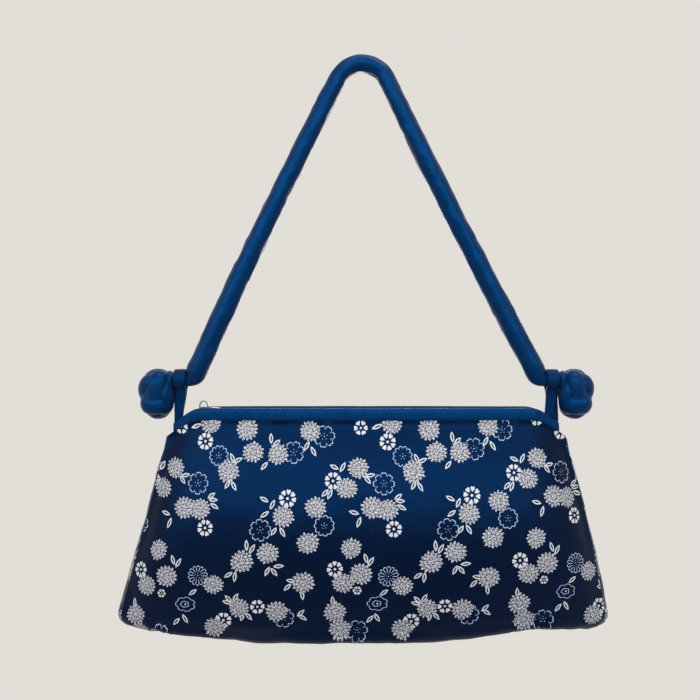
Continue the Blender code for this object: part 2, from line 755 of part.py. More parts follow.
def half_handle_path(side):
    """The centreline from the hang point to one neck's end, drawn towards +X."""
    top = Vector((0, 0, TUBE_RADIUS_TOP - TOP_BEND_RADIUS))
    low = Vector((LOOP_INNER_X + side * HANG_OFFSET, 0, NECK_BEND_RADIUS - NECK_DROP))
    span = low - top
    lean = math.atan2(span.x, -span.z)
    lean -= math.asin((TOP_BEND_RADIUS + NECK_BEND_RADIUS) / span.length)
    points = arc(top, TOP_BEND_RADIUS, math.pi / 2, lean, TUBE_STEP / 3)
    bend = arc(low, NECK_BEND_RADIUS, math.pi + lean, 1.5 * math.pi, TUBE_STEP / 3)
    count = math.ceil((bend[0] - points[-1]).length / TUBE_STEP)
    start = points[-1]
    points += [start.lerp(bend[0], i / count) for i in range(1, count)] + bend
    dive = Vector((low.x + LOOP_WIDTH, 0, -NECK_DROP - NECK_BEND_RADIUS))
    points += arc(dive, NECK_BEND_RADIUS, math.pi / 2, math.pi / 2 - NECK_DIP, TUBE_STEP / 3)
    heading = Vector((math.cos(NECK_DIP), 0, -math.sin(NECK_DIP)))
    points.append(points[-1] + heading * NECK_BEND_RADIUS / 3)
    return points


def tube_rings(points, radii):
    rings = []
    for i, point in enumerate(points):
        before = points[max(0, i - 1)]
        after = points[min(len(points) - 1, i + 1)]
        along = (after - before).normalized()
        across_tube = along.cross(Vector((0, 1, 0)))
        rings.append([point + radii[i] * (math.cos(t) * across_tube
                                          + math.sin(t) * Vector((0, 1, 0)))
                      for t in (math.tau * j / TUBE_SIDES for j in range(TUBE_SIDES))])
    return rings


def tube_radius(drop, out):
    """The tube's radius, from its drop below the hang point and how far a loop is out."""
    share = drop / NECK_DROP
    padded = mix(TUBE_RADIUS_TOP, TUBE_RADIUS_LEG, ramp(share, 0, 0.25))
    padded = mix(padded, TUBE_RADIUS_LOW, ramp(share, 0.45, 0.8))
    return mix(NECK_RADIUS, padded, ramp(out, 0, NECK_TAPER * math.sin(math.radians(30))))


def handle(materials, body):
    points = []
    radii = []
    for side in (-1, 1):
        path = half_handle_path(side)
        loop_x = LOOP_INNER_X + side * HANG_OFFSET
        widths = [tube_radius(-point.z, loop_x - point.x) for point in path]
        placed = [Vector((side * point.x - HANG_OFFSET, 0, point.z)) for point in path]
        points += placed if side > 0 else list(reversed(placed[1:]))
        radii += widths if side > 0 else list(reversed(widths[1:]))
    return sweep("handle", tube_rings(points, radii), materials, body)


def loop(name, side, materials, body):
    """A flat band over the neck, with both legs sewn into the bag's corner."""
    wrap = NECK_RADIUS + NECK_CLEARANCE + LOOP_THICKNESS / 2
    leg_y = LOOP_LEG_GAP / 2 + LOOP_THICKNESS / 2
    reach = wrap + LOOP_FILLET
    fillet_y = leg_y + LOOP_FILLET
    fillet_z = math.sqrt(reach ** 2 - fillet_y ** 2)
    turn = math.atan2(-fillet_z, fillet_y)
    wrap_angles = [mix(math.pi / 2, turn, i / LOOP_WRAP_STEPS)
                   for i in range(LOOP_WRAP_STEPS + 1)]
    fillet_angles = [mix(math.pi + turn, math.pi, i / LOOP_FILLET_STEPS)
                     for i in range(1, LOOP_FILLET_STEPS + 1)]
    half = [Vector((wrap * math.cos(a), wrap * math.sin(a))) for a in wrap_angles]
    half += [Vector((fillet_y + LOOP_FILLET * math.cos(a), -fillet_z + LOOP_FILLET * math.sin(a)))
             for a in fillet_angles]
    root = -(BAG_DROP + TOP_CORNER_DROP + LOOP_ROOT)
    half.append(Vector((leg_y, mix(half[-1].y, root, 0.5))))
    half.append(Vector((leg_y, root)))
    path = [Vector((-point.x, point.y)) for point in reversed(half[1:])] + half
    rings = []
    for i, point in enumerate(path):
        along = path[min(len(path) - 1, i + 1)] - path[max(0, i - 1)]
        normal = Vector((along.y, -along.x)).normalized() * LOOP_THICKNESS / 2
        ring = []
        for x, out in ((LOOP_INNER_X, -1), (LOOP_OUTER_X, -1), (LOOP_OUTER_X, 1),
                       (LOOP_INNER_X, 1)):
            ring.append(Vector((side * x, point.x + out * normal.x,
                                -NECK_DROP + point.y + out * normal.y)))
        rings.append(ring)
    return sweep(name, rings, materials, body)


def knot_strand(samples=128):
    """The strand's course over a unit ball, with its rise over and under itself."""
    course = []
    for i in range(samples):
        t = math.tau * i / samples
        latitude = KNOT_LATITUDE * math.sin(KNOT_BIGHTS * t)
        flat = math.cos(latitude)
        direction = Vector((flat * math.cos(KNOT_WRAPS * t), flat * math.sin(KNOT_WRAPS * t),
                            math.sin(latitude)))
        course.append((direction, KNOT_STRAND_RISE * math.sin(2 * KNOT_BIGHTS * t)))
    return course


def knot_reach(direction, course):
    """Share of the knot's full size at which its surface lies in one direction."""
    best = -1.0
    for centre, rise in course:
        away = min(1.0, direction.angle(centre) / KNOT_STRAND)
        best = max(best, rise - KNOT_STRAND_ROUND * (1 - math.sqrt(1 - away * away)))
    return 1 - KNOT_STRAND_RISE + best


def knot(name, side, materials, body):
    """A wrapped button knot as a star-shaped solid, with a socket for the neck."""
    course = knot_strand()
    bm = bmesh.new()
    bmesh.ops.create_uvsphere(bm, u_segments=KNOT_SEGMENTS, v_segments=KNOT_RINGS, radius=1)
    axis = Vector((-math.cos(KNOT_TILT), 0, math.sin(KNOT_TILT)))
    turn = Vector((0, 0, 1)).rotation_difference(axis)
    size = Vector((KNOT_RADIUS, KNOT_RADIUS, KNOT_HALF_HEIGHT))
    mirror = Vector((side, 1, 1))
    for vert in bm.verts:
        reach = knot_reach(vert.co, course)
        vert.co = (KNOT_CENTRE + (turn @ vert.co) * size * reach) * mirror
    ball = finish_object(name, bm, materials, body)
    loop_x = LOOP_INNER_X + side * HANG_OFFSET
    neck = [point for point in half_handle_path(side) if point.x > loop_x + CLEARANCE]
    heading = (neck[-1] - neck[-2]).normalized()
    neck.append(neck[-1] + heading * CLEARANCE)
    neck = [Vector((side * point.x - HANG_OFFSET, 0, point.z)) for point in neck]
    rings = tube_rings(neck, [NECK_RADIUS + NECK_CLEARANCE] * len(neck))
    cut_with(ball, sweep(name + " socket", rings, materials, body))
    return ball


def build():
    for old in list(bpy.data.objects):
        bpy.data.objects.remove(old, do_unlink=True)

    satin = material("blue satin", (0.010, 0.050, 0.160), 0.38)
    brocade = material("navy brocade", (0.006, 0.028, 0.105), 0.42)
    figure = material("silver white figure", (0.62, 0.62, 0.60), 0.50)
    lining_cloth = material("navy lining", (0.010, 0.020, 0.060), 0.70)
    tape_cloth = material("navy zip tape", (0.008, 0.020, 0.070), 0.80)
    coil_plastic = material("navy zip coil", (0.010, 0.030, 0.090), 0.45)
    metal = material("bright zip metal", (0.70, 0.70, 0.68), 0.25, 1.0)

    carrier = empty("carrier", Vector((-HANG_OFFSET, 0, 0)))
    bag_axis = empty("bag axis", Vector((0, 0, -NECK_DROP)), carrier)
    slider_start = empty("slider start", Vector((SLIDER_X, 0, TAPE_Z)), bag_axis)
    pull_axis = empty("pull axis", Vector((SLIDER_X, 0, PULL_Z)), slider_start)

    handle([satin], carrier)
    for end, side in (("left", -1), ("right", 1)):
        knot("knot_" + end, side, [satin], carrier)
        loop("loop_" + end, side, [satin], bag_axis)
        gusset("gusset_" + end, side, [brocade], bag_axis)
    for face, side, shift in (("front", -1, 0.0), ("back", 1, BACK_FIGURE_SHIFT)):
        wall_panel(face + "_panel", side, shift, [brocade, figure], bag_axis)
        binding("binding_" + face, side, [satin], bag_axis)
        zip_tape("zip_tape_" + face, side, [tape_cloth], bag_axis)
        zip_coil("zip_coil_" + face, side, [coil_plastic], bag_axis)
    bottom_panel([brocade], bag_axis)
    lining([lining_cloth], bag_axis)
    zip_stops([metal], bag_axis)
    slider([metal], slider_start)
    pull([metal], pull_axis)


build()
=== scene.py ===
"""Looks of the small zip-top shoulder bag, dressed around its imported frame.

Units are metres. The front faces -Y and +Z is up. Cloth is laid out flat as across and up,
measured from the middle of the top line, and then wrapped onto the bag's sagging shell.
"""
import math
from functools import partial

import bmesh
import bpy
import numpy as np
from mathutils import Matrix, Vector
from mathutils.geometry import delaunay_2d_cdt


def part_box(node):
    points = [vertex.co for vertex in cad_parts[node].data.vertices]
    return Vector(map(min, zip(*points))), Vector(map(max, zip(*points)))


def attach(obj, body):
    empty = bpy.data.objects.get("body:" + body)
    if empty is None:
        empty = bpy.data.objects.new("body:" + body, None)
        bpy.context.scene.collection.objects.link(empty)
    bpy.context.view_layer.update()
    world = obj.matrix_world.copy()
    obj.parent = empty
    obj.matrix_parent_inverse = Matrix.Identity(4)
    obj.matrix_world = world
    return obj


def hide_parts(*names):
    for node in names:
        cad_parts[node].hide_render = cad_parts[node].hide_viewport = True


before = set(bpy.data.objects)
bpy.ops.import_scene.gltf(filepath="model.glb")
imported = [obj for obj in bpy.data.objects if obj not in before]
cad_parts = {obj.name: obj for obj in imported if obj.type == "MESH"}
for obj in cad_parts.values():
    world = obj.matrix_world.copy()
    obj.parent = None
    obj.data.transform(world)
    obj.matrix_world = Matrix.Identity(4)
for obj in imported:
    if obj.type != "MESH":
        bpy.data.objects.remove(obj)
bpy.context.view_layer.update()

# Sizes of the bag, most of them as in its solids
CLEARANCE = 0.0003
HANG_OFFSET = 0.0025
BODY_LEAN = -0.0020
BODY_LEAN_SHARE = 0.4
NECK_DROP = 0.190
TOP_BEND_RADIUS = 0.017
TUBE_RADIUS_TOP = 0.0056
TUBE_RADIUS_LEG = 0.0062
TUBE_RADIUS_LOW = 0.0067
TUBE_RADIUS_TURN = 0.006
NECK_RADIUS = 0.0045
NECK_BEND_RADIUS = 0.006
NECK_TAPER = 0.007
NECK_DIP = math.radians(40)
NECK_CLEARANCE = 0.00045
HANDLE_SWAY = 0.0015
NECK_SWELL = 0.0015
GATHER_RADIUS = 0.0054
KNOT_SNUG = 0.0008
LOOP_THICKNESS = 0.0018
LOOP_LEG_GAP = 0.0004
LOOP_FILLET = 0.005
KNOT_RADIUS = 0.0111
KNOT_HALF_HEIGHT = 0.0155
KNOT_DROP = 0.0087
KNOT_TILT = math.radians(40)
CORE_INSET = (0.0042, 0.0048)
BAG_DROP = 0.0243
BODY_HEIGHT = 0.1300
HALF_WIDTH_TOP = 0.1235
HALF_WIDTH_LOW = 0.1523
HALF_DEPTH_TOP = 0.012
HALF_DEPTH_BELLY = 0.033
HALF_DEPTH_LOW = 0.024
BELLY_SHARE = 0.62
LOWER_ROUND = 0.010
ROUNDNESS_TOP = 2.35
ROUNDNESS_LOW = 3.2
TOP_FLAT_SHARE = 0.810
TOP_CORNER_DROP = 0.011
TOP_CORNER_CURVE = 1.6
BASE_RISE = 0.0042
BASE_RISE_LEFT = (0.35, 0.90)
BASE_RISE_RIGHT = (0.15, 0.62)
BASE_NOTCH = 0.0028
BASE_NOTCH_SHARE = 0.70
BASE_NOTCH_SPREAD = 0.13
BASE_SAG = 0.004
SEAM_TOP_SHARE = 0.985
SEAM_LOW_SHARE = 0.97
CLOTH_THICKNESS = 0.0012
WALL_REACH = 0.15
LINING_INSET = 0.0030
LINING_THICKNESS = 0.0006
LINING_TOP_SHARE = 0.885
LINING_REACH_SHARE = 0.30
BINDING_HEIGHT = 0.007
BINDING_END_HEIGHT = 0.0050
BINDING_THICKNESS = 0.0042
BINDING_PROUD = 0.0004
BINDING_END_SHARE = 0.955
BINDING_TAPER_SHARE = 0.84

LOOP_OUTER_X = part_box("loop_right")[1][0] - HANG_OFFSET
LOOP_INNER_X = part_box("loop_right")[0][0] - HANG_OFFSET
PANEL_TOP_Z = -(NECK_DROP + BAG_DROP)
KNOT_CENTRE = Vector((LOOP_OUTER_X + CLEARANCE + KNOT_RADIUS, 0, -(NECK_DROP + KNOT_DROP)))

# Woven figure: one repeat of the cloth, and how it lies on each part of the bag, in metres
REPEAT = 0.1075
BACK_FIGURE_SHIFT = 0.045
GUSSET_FIGURE_SHIFT = 0.052
BASE_FIGURE_SHIFT = 0.012
BASE_FIGURE_DROP = 0.060
LEFT_END_EASE = 0.11
RIGHT_END_EASE = 0.07
LEFT_END_SHIFT = 0.0025
LEFT_END_DROP = 0.0065
RIGHT_END_LIFT = 0.0050

# Places in one repeat, in millimetres across and down. White flowers end with their radius,
# blossoms with their number of lobes and leaves with the way they point, in degrees
HEADS = (
    (-92, 2), (-70, 5), (-66, 18), (-52, 19), (-34, 6), (-80, 29), (-5, 27), (-12, 38),
    (3, 49), (12, 50), (-48, 54), (-30, 49), (-34, 69), (-9, 72), (-13, 92), (-3, 87),
    (-86, 94), (-70, 80), (-56, 75), (-36, 92), (-17, 110), (-71, 108), (-50, 110),
    (-85, 121), (-14, 121),
)
WHITE_FLOWERS = ((-95, 12, 5.0), (-46, 44, 5.2), (-20, 34, 5.0), (-92, 61, 4.8), (-18, 84, 4.8),
                 (-80, 116, 5.0), (-60.7, 107, 4.4), (-4.6, 96.7, 2.6), (-111, 4, 4.2))
BLOSSOMS = ((-43.2, 18.1, 7), (-25.4, 8.9, 7), (-86.2, 20.3, 12), (-97.6, 35.7, 8),
            (-60.5, 61.9, 8), (-24.9, 59.1, 11), (-46.5, 113.8, 8), (-4, 121.8, 7),
            (-94.4, 88.2, 14))
SPRIGS = ((7.4, 104.7),)
LEAVES = (
    (-77.9, 21.5, 115), (-74.6, 22.7, 25), (-80.1, 36.5, 240), (-76.3, 37.2, 300),
    (-59.3, 25.8, 230), (-35.8, 14.4, 240), (-31.8, 17.4, 300), (-19.3, 26.3, 155),
    (-14.3, 26.3, 60), (-24.6, 40.8, 225), (-21.8, 41.5, 245), (-58.8, 44.6, 152),
    (-54.2, 47.4, 65), (-58.3, 53.0, 215), (-53.1, 62.5, 235), (-48.4, 62.8, 300),
    (-67.7, 70.6, 95), (-64.6, 72.6, 60), (-4.8, 57.1, 250), (-0.3, 77.7, 110),
    (2.6, 79.6, 60), (-96.6, 97.9, 218), (-77.3, 87.9, 215), (-73.6, 88.9, 265),
    (-55.9, 85.5, 245), (-52.2, 85.8, 310), (-49.8, 82.4, 5), (-18.6, 103.2, 95),
    (3.4, 114.6, 230), (7.5, 113.6, 300), (-78.0, 104.6, 165), (-77.0, 102.5, 135),
    (-73.0, 101.6, 60), (-69.2, 113.6, 255), (-65.5, 113.0, 310), (-36.9, 110.7, 45),
    (-35.9, 113.5, -35), (-42.7, 91.0, 170), (-44.6, 94.8, 225), (-36.2, 99.7, 280),
    (-56.1, 10.1, 95), (-53.0, 12.6, 40), (-88.1, 45.3, 0), (-87.3, 48.8, -30),
    (-89.3, 42.9, 35), (0.3, 33.4, -50), (2.1, 30.9, 10), (-7.7, 51.7, 165),
    (-101.5, 3.4, 201), (-101.0, 3.2, 21),
)
GROUND, PETALS, WHITE, LINE = range(4)
LINE_WIDTH = 0.00036


def mix(start, end, share):
    return start + (end - start) * share


def smooth(share):
    """An even S from 0 to 1."""
    return share * share * (3 - 2 * share)


def ramp(value, start, end):
    """0 before start, 1 after end, and an even S between them."""
    return smooth(np.clip((value - start) / (end - start), 0, 1))


def oval(depth, c, roundness):
    """Depth of a rounded ring at a share c of its half width."""
    return depth * np.maximum(0, 1 - abs(c) ** roundness) ** (1 / roundness)


def unit(vectors):
    return vectors / np.maximum(np.linalg.norm(vectors, axis=-1, keepdims=True), 1e-12)


def around(count, start=0.0):
    """Even turns round a circle, in radians."""
    return math.tau * (np.arange(count) + start) / count


def squarish(waves, power):
    """Sines or cosines swollen towards a square, by a power under 1."""
    return np.copysign(abs(waves) ** power, waves)


def lengths_along(points):
    """How far each point lies along a line of points."""
    return np.concatenate([[0], np.cumsum(np.linalg.norm(np.diff(points, axis=0), axis=1))])


# The bag's shell, named by the share c of its half width and the cloth's length w downwards

def top_drop(c):
    beyond = np.maximum(abs(c) - TOP_FLAT_SHARE, 0) / (1 - TOP_FLAT_SHARE)
    return TOP_CORNER_DROP * beyond ** TOP_CORNER_CURVE


def base_rise(c):
    lift = np.where(c > 0, ramp(abs(c), *BASE_RISE_RIGHT), ramp(abs(c), *BASE_RISE_LEFT))
    crease = np.exp(-((c - BASE_NOTCH_SHARE) / BASE_NOTCH_SPREAD) ** 2)
    return BASE_RISE * lift + BASE_NOTCH * crease


def half_depth(level):
    above = np.sin(np.pi / 2 * np.minimum(level, BELLY_SHARE) / BELLY_SHARE)
    below = np.cos(np.pi / 2 * (np.maximum(level, BELLY_SHARE) - BELLY_SHARE)
                   / (1 - BELLY_SHARE))
    return np.where(level < BELLY_SHARE, mix(HALF_DEPTH_TOP, HALF_DEPTH_BELLY, above),
                    mix(HALF_DEPTH_LOW, HALF_DEPTH_BELLY, below))


def seam_share(share):
    return mix(SEAM_TOP_SHARE, SEAM_LOW_SHARE, share)


def cloth_length(c):
    straight = BODY_HEIGHT - top_drop(c) - base_rise(c) - LOWER_ROUND
    return straight + LOWER_ROUND * math.pi / 2


def ring_at(c, w):
    """Half width, half depth, roundness, height and middle of the ring through a point."""
    tall = BODY_HEIGHT - top_drop(c) - base_rise(c)
    angle = np.clip((w - (tall - LOWER_ROUND)) / LOWER_ROUND, 0, np.pi / 2)
    down = np.minimum(w, tall - LOWER_ROUND) + LOWER_ROUND * np.sin(angle)
    rolled = LOWER_ROUND * (1 - np.cos(angle))
    level = down / tall
    half_width = mix(HALF_WIDTH_TOP, HALF_WIDTH_LOW, level) - rolled
    roundness = mix(ROUNDNESS_TOP, ROUNDNESS_LOW, level)
    height = PANEL_TOP_Z - top_drop(c) - down
    middle = BODY_LEAN * ramp(level, BODY_LEAN_SHARE, 1)
    return half_width, half_depth(level) - rolled, roundness, height, middle


def wall_point(c, w):
    """Points on the front wall, as rows of x, y, z."""
    half_width, depth, roundness, height, middle = ring_at(c, w)
    return np.stack([HANG_OFFSET + middle + half_width * c, -oval(depth, c, roundness),
                     height + 0 * c], -1)


def wall_normal(c, w):
    step = 1e-4
    aside = wall_point(c + step, w) - wall_point(c - step, w)
    along = wall_point(c, np.maximum(w - step / 10, 0)) - wall_point(c, w + step / 10)
    return unit(np.cross(aside, along))


def end_point(t, share, side):
    """Points on the left or right end wall, with t from the front seam at -1 to 1."""
    c = np.ones_like(t)
    for _ in range(3):
        w = cloth_length(side * c) * share
        half_width, depth, roundness, height, middle = ring_at(side * c, w)
        seam_y = oval(depth, seam_share(share), roundness)
        c = oval(1, t * seam_y / depth, roundness)
    return np.stack([HANG_OFFSET + middle + side * half_width * c, t * seam_y, height], -1)


TABLE_ROWS = 60
TABLE_C = np.sin(np.pi / 2 * np.arange(TABLE_ROWS + 1) / TABLE_ROWS)


def lengths_across(level):
    """Cloth from the middle out to each share in TABLE_C, at one level of the front."""
    half_width, depth, roundness, _, _ = ring_at(0.0, level * cloth_length(0.0))
    steps = np.hypot(np.diff(half_width * TABLE_C), np.diff(oval(depth, TABLE_C, roundness)))
    return np.concatenate([[0], np.cumsum(steps)])


TABLE_LENGTHS = [lengths_across(row / TABLE_ROWS) for row in range(TABLE_ROWS + 1)]


def look_up(values, share, read):
    """Read two neighbouring rows of the tables for each value, and mix them."""
    share = np.clip(share, 0, 1) * TABLE_ROWS
    low = np.minimum(share.astype(int), TABLE_ROWS - 1)
    found = np.zeros_like(values)
    for row in np.unique(low):
        here = low == row
        near = read(abs(values[here]), row)
        far = read(abs(values[here]), row + 1)
        found[here] = mix(near, far, share[here] - row)
    return np.copysign(found, values)


def flat_from_wall(c, share):
    """Where points of the wall lie on the uncut cloth: across, and up from the top line."""
    across = look_up(c, share, lambda v, row: np.interp(v, TABLE_C, TABLE_LENGTHS[row]))
    return np.stack([across, -(top_drop(c) + cloth_length(c) * share)], -1)


def wall_from_flat(flat):
    """The wall's c and share for points of the uncut cloth."""
    share = -flat[:, 1] / BODY_HEIGHT
    for _ in range(8):
        share = np.clip(share, 0, 1)
        c = look_up(flat[:, 0], share, lambda v, row: np.interp(v, TABLE_LENGTHS[row], TABLE_C))
        share = (-flat[:, 1] - top_drop(c)) / cloth_length(c)
    return c, np.clip(share, 0, 1)


# Uneven values for folds and puckers

def wander(values, step, seed):
    """Smooth uneven values from -1 to 1 along a line, with bumps about a step apart."""
    heights = np.random.default_rng(seed).uniform(-1, 1, 512)
    place = np.asarray(values) / step + 200
    low = np.floor(place).astype(int)
    return mix(heights[low % 512], heights[(low + 1) % 512], smooth(place - low))


def crumple(u, v, step, seed):
    """Smooth uneven values from -1 to 1 over a sheet, with bumps about a step apart."""
    heights = np.random.default_rng(seed).uniform(-1, 1, (256, 256))
    place = [np.asarray(u) / step + 100, np.asarray(v) / step + 100]
    low = [np.floor(p).astype(int) for p in place]
    share = [smooth(p - q) for p, q in zip(place, low)]
    rows = [[heights[(low[0] + i) % 256, (low[1] + j) % 256] for j in (0, 1)] for i in (0, 1)]
    return mix(mix(rows[0][0], rows[0][1], share[1]), mix(rows[1][0], rows[1][1], share[1]),
               share[0])


# Objects

SHARP_EDGE = math.radians(50)


def cloth_object(name, points, faces, materials, kinds=None, maps=None):
    """A mesh object from points and faces, with a material index and map places."""
    mesh = bpy.data.meshes.new(name)
    mesh.from_pydata(np.asarray(points).tolist(), [], [list(face) for face in faces])
    for material in materials:
        mesh.materials.append(material)
    if kinds is not None:
        mesh.polygons.foreach_set("material_index", kinds)
    for map_name, places in (maps or {}).items():
        layer = mesh.uv_layers.new(name=map_name)
        layer.data.foreach_set("uv", np.asarray(places, dtype=np.float32).ravel())
    mesh.shade_smooth()
    mesh.set_sharp_from_angle(angle=SHARP_EDGE)
    mesh.update()
    made = bpy.data.objects.new(name, mesh)
    bpy.context.collection.objects.link(made)
    return made


def ring_tube(name, rings, materials, closed=False):
    """A closed skin through rings of points, capped at both ends unless it closes."""
    rings = np.asarray(rings)
    count, sides = rings.shape[:2]
    i, j = np.meshgrid(np.arange(count if closed else count - 1), np.arange(sides),
                       indexing="ij")
    after_i = (i + 1) % count
    after_j = (j + 1) % sides
    faces = np.stack([i * sides + j, i * sides + after_j, after_i * sides + after_j,
                      after_i * sides + j], -1).reshape(-1, 4).tolist()
    along = lengths_along(rings.mean(axis=1))
    last = np.linalg.norm(rings[0].mean(0) - rings[-1].mean(0)) if closed else 0
    along = np.append(along, along[-1] + last)
    girth = np.linalg.norm(np.diff(rings[count // 2], axis=0), axis=1).sum()
    corners = np.stack([np.stack([girth * (j + a) / sides, along[i + b]], -1)
                        for a, b in ((0, 0), (1, 0), (1, 1), (0, 1))], -2).reshape(-1, 2)
    if not closed:
        faces.append(list(range(sides))[::-1])
        faces.append(list(range((count - 1) * sides, count * sides)))
        flat = [[girth * k / sides, along[0]] for k in reversed(range(sides))]
        flat += [[girth * k / sides, along[-1]] for k in range(sides)]
        corners = np.concatenate([corners, flat])
    made = cloth_object(name, rings.reshape(-1, 3), faces, materials, maps={"cloth": corners})
    turn_outwards(made)
    return made


def turn_outwards(made):
    """Face a closed skin outwards."""
    bm = bmesh.new()
    bm.from_mesh(made.data)
    bmesh.ops.recalc_face_normals(bm, faces=bm.faces)
    bm.to_mesh(made.data)
    bm.free()


def centreline_rings(path, radii, turns):
    """Rings round a path in the XZ plane; radii may vary with the turn about the path."""
    across = np.array([0.0, 1.0, 0.0])
    aside = np.cross(unit(np.gradient(path, axis=0)), across)
    turns = turns[:, None]
    return np.array([point + reach[:, None] * (np.cos(turns) * out + np.sin(turns) * across)
                     for point, reach, out in zip(path, radii, aside)])


def dress(made, body, node=None):
    """Let a piece ride on its body and stand for its solid."""
    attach(made, body)
    if node:
        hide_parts(node)
    return made


# Shader effects shared by the finishes

def new_group(name, inputs, outputs):
    """An empty node group with named inputs and outputs."""
    group = bpy.data.node_groups.new(name, "ShaderNodeTree")
    for label, kind, value in inputs:
        socket = group.interface.new_socket(label, in_out="INPUT", socket_type=kind)
        if value is not None:
            socket.default_value = value
    for label in outputs:
        group.interface.new_socket(label, in_out="OUTPUT", socket_type="NodeSocketFloat")
    return group, group.nodes.new("NodeGroupInput"), group.nodes.new("NodeGroupOutput")


def math_node(tree, operation, *values, clamp=False):
    node = tree.nodes.new("ShaderNodeMath")
    node.operation = operation
    node.use_clamp = clamp
    for socket, value in zip(node.inputs, values):
        if isinstance(value, (int, float)):
            socket.default_value = value
        else:
            tree.links.new(value, socket)
    return node.outputs[0]


def scaled(tree, vector, x, y):
    """A map's places times a number in each direction."""
    node = tree.nodes.new("ShaderNodeVectorMath")
    node.operation = "MULTIPLY"
    tree.links.new(vector, node.inputs[0])
    node.inputs[1].default_value = (x, y, 1)
    return node.outputs[0]


def noise(tree, vector, scale, detail=2.0, roughness=0.5):
    node = tree.nodes.new("ShaderNodeTexNoise")
    node.inputs["Scale"].default_value = scale
    node.inputs["Detail"].default_value = detail
    node.inputs["Roughness"].default_value = roughness
    tree.links.new(vector, node.inputs["Vector"])
    return node.outputs["Fac"]


def weave_group():
    """Fine warp and weft floats, slub streaks and slow crumples of a woven cloth."""
    group, start, end = new_group(
        "woven threads",
        [("Cloth", "NodeSocketVector", None), ("Threads per metre", "NodeSocketFloat", 3000.0)],
        ["Float height", "Streak", "Crumple"])
    sums = partial(math_node, group)
    cloth = start.outputs["Cloth"]
    parts = group.nodes.new("ShaderNodeSeparateXYZ")
    group.links.new(cloth, parts.inputs[0])
    turns = sums("MULTIPLY", start.outputs["Threads per metre"], math.tau)
    warp = sums("SINE", sums("MULTIPLY", parts.outputs["X"], turns))
    slower = sums("MULTIPLY", turns, 0.2)
    slant = sums("MULTIPLY", parts.outputs["X"], sums("MULTIPLY", turns, 0.4))
    weft = sums("SINE", sums("ADD", sums("MULTIPLY", parts.outputs["Y"], slower), slant))
    height = sums("ADD", sums("MULTIPLY", warp, 0.35), sums("MULTIPLY", weft, 0.25))
    group.links.new(height, end.inputs["Float height"])
    group.links.new(noise(group, scaled(group, cloth, 2600, 160), 1.0, 3.0), end.inputs["Streak"])
    group.links.new(noise(group, scaled(group, cloth, 260, 200), 1.0, 4.0, 0.55),
                    end.inputs["Crumple"])
    return group


def petal_group():
    """Three rings of narrow veined petals in a flower head, placed in shares of its radius; each
    petal is painted darker towards its base, as painted shade.
    """
    group, start, end = new_group(
        "chrysanthemum petals", [("Place in head", "NodeSocketVector", None)],
        ["Petal", "Shade"])
    sums = partial(math_node, group)
    place = start.outputs["Place in head"]
    parts = group.nodes.new("ShaderNodeSeparateXYZ")
    group.links.new(place, parts.inputs[0])
    length = group.nodes.new("ShaderNodeVectorMath")
    length.operation = "LENGTH"
    group.links.new(place, length.inputs[0])
    angle = sums("DIVIDE", sums("ARCTAN2", parts.outputs["Y"], parts.outputs["X"]), math.tau)
    out = sums("MULTIPLY", length.outputs["Value"], 2.9)
    ring = sums("FLOOR", out)
    along = sums("FRACT", out)
    count = sums("ADD", sums("MULTIPLY", ring, 5.0), 6.0)
    turned = sums("ADD", sums("MULTIPLY", angle, count),
                  sums("MULTIPLY", sums("SUBTRACT", ring, 2.0), 0.37))
    aside = sums("ABSOLUTE", sums("SUBTRACT", sums("FRACT", turned), 0.5))
    aside = sums("MULTIPLY", aside, 2.0)
    edge = sums("ADD", sums("POWER", aside, 1.6), sums("POWER", along, 3.5))
    fade = sums("MULTIPLY", sums("SUBTRACT", edge, 0.40), 1.3)
    petal = sums("SUBTRACT", 1.0, fade, clamp=True)
    group.links.new(petal, end.inputs["Petal"])
    vein = sums("MULTIPLY", sums("LESS_THAN", aside, 0.16), -0.30)
    # Each petal grows lighter towards its tip: its darker base is painted shade, its dark middle
    # line a woven vein
    shade = sums("ADD", vein, sums("MULTIPLY_ADD", along, 0.35, 0.72))
    group.links.new(sums("MULTIPLY", shade, petal), end.inputs["Shade"])
    return group


WEAVE = weave_group()
PETAL = petal_group()


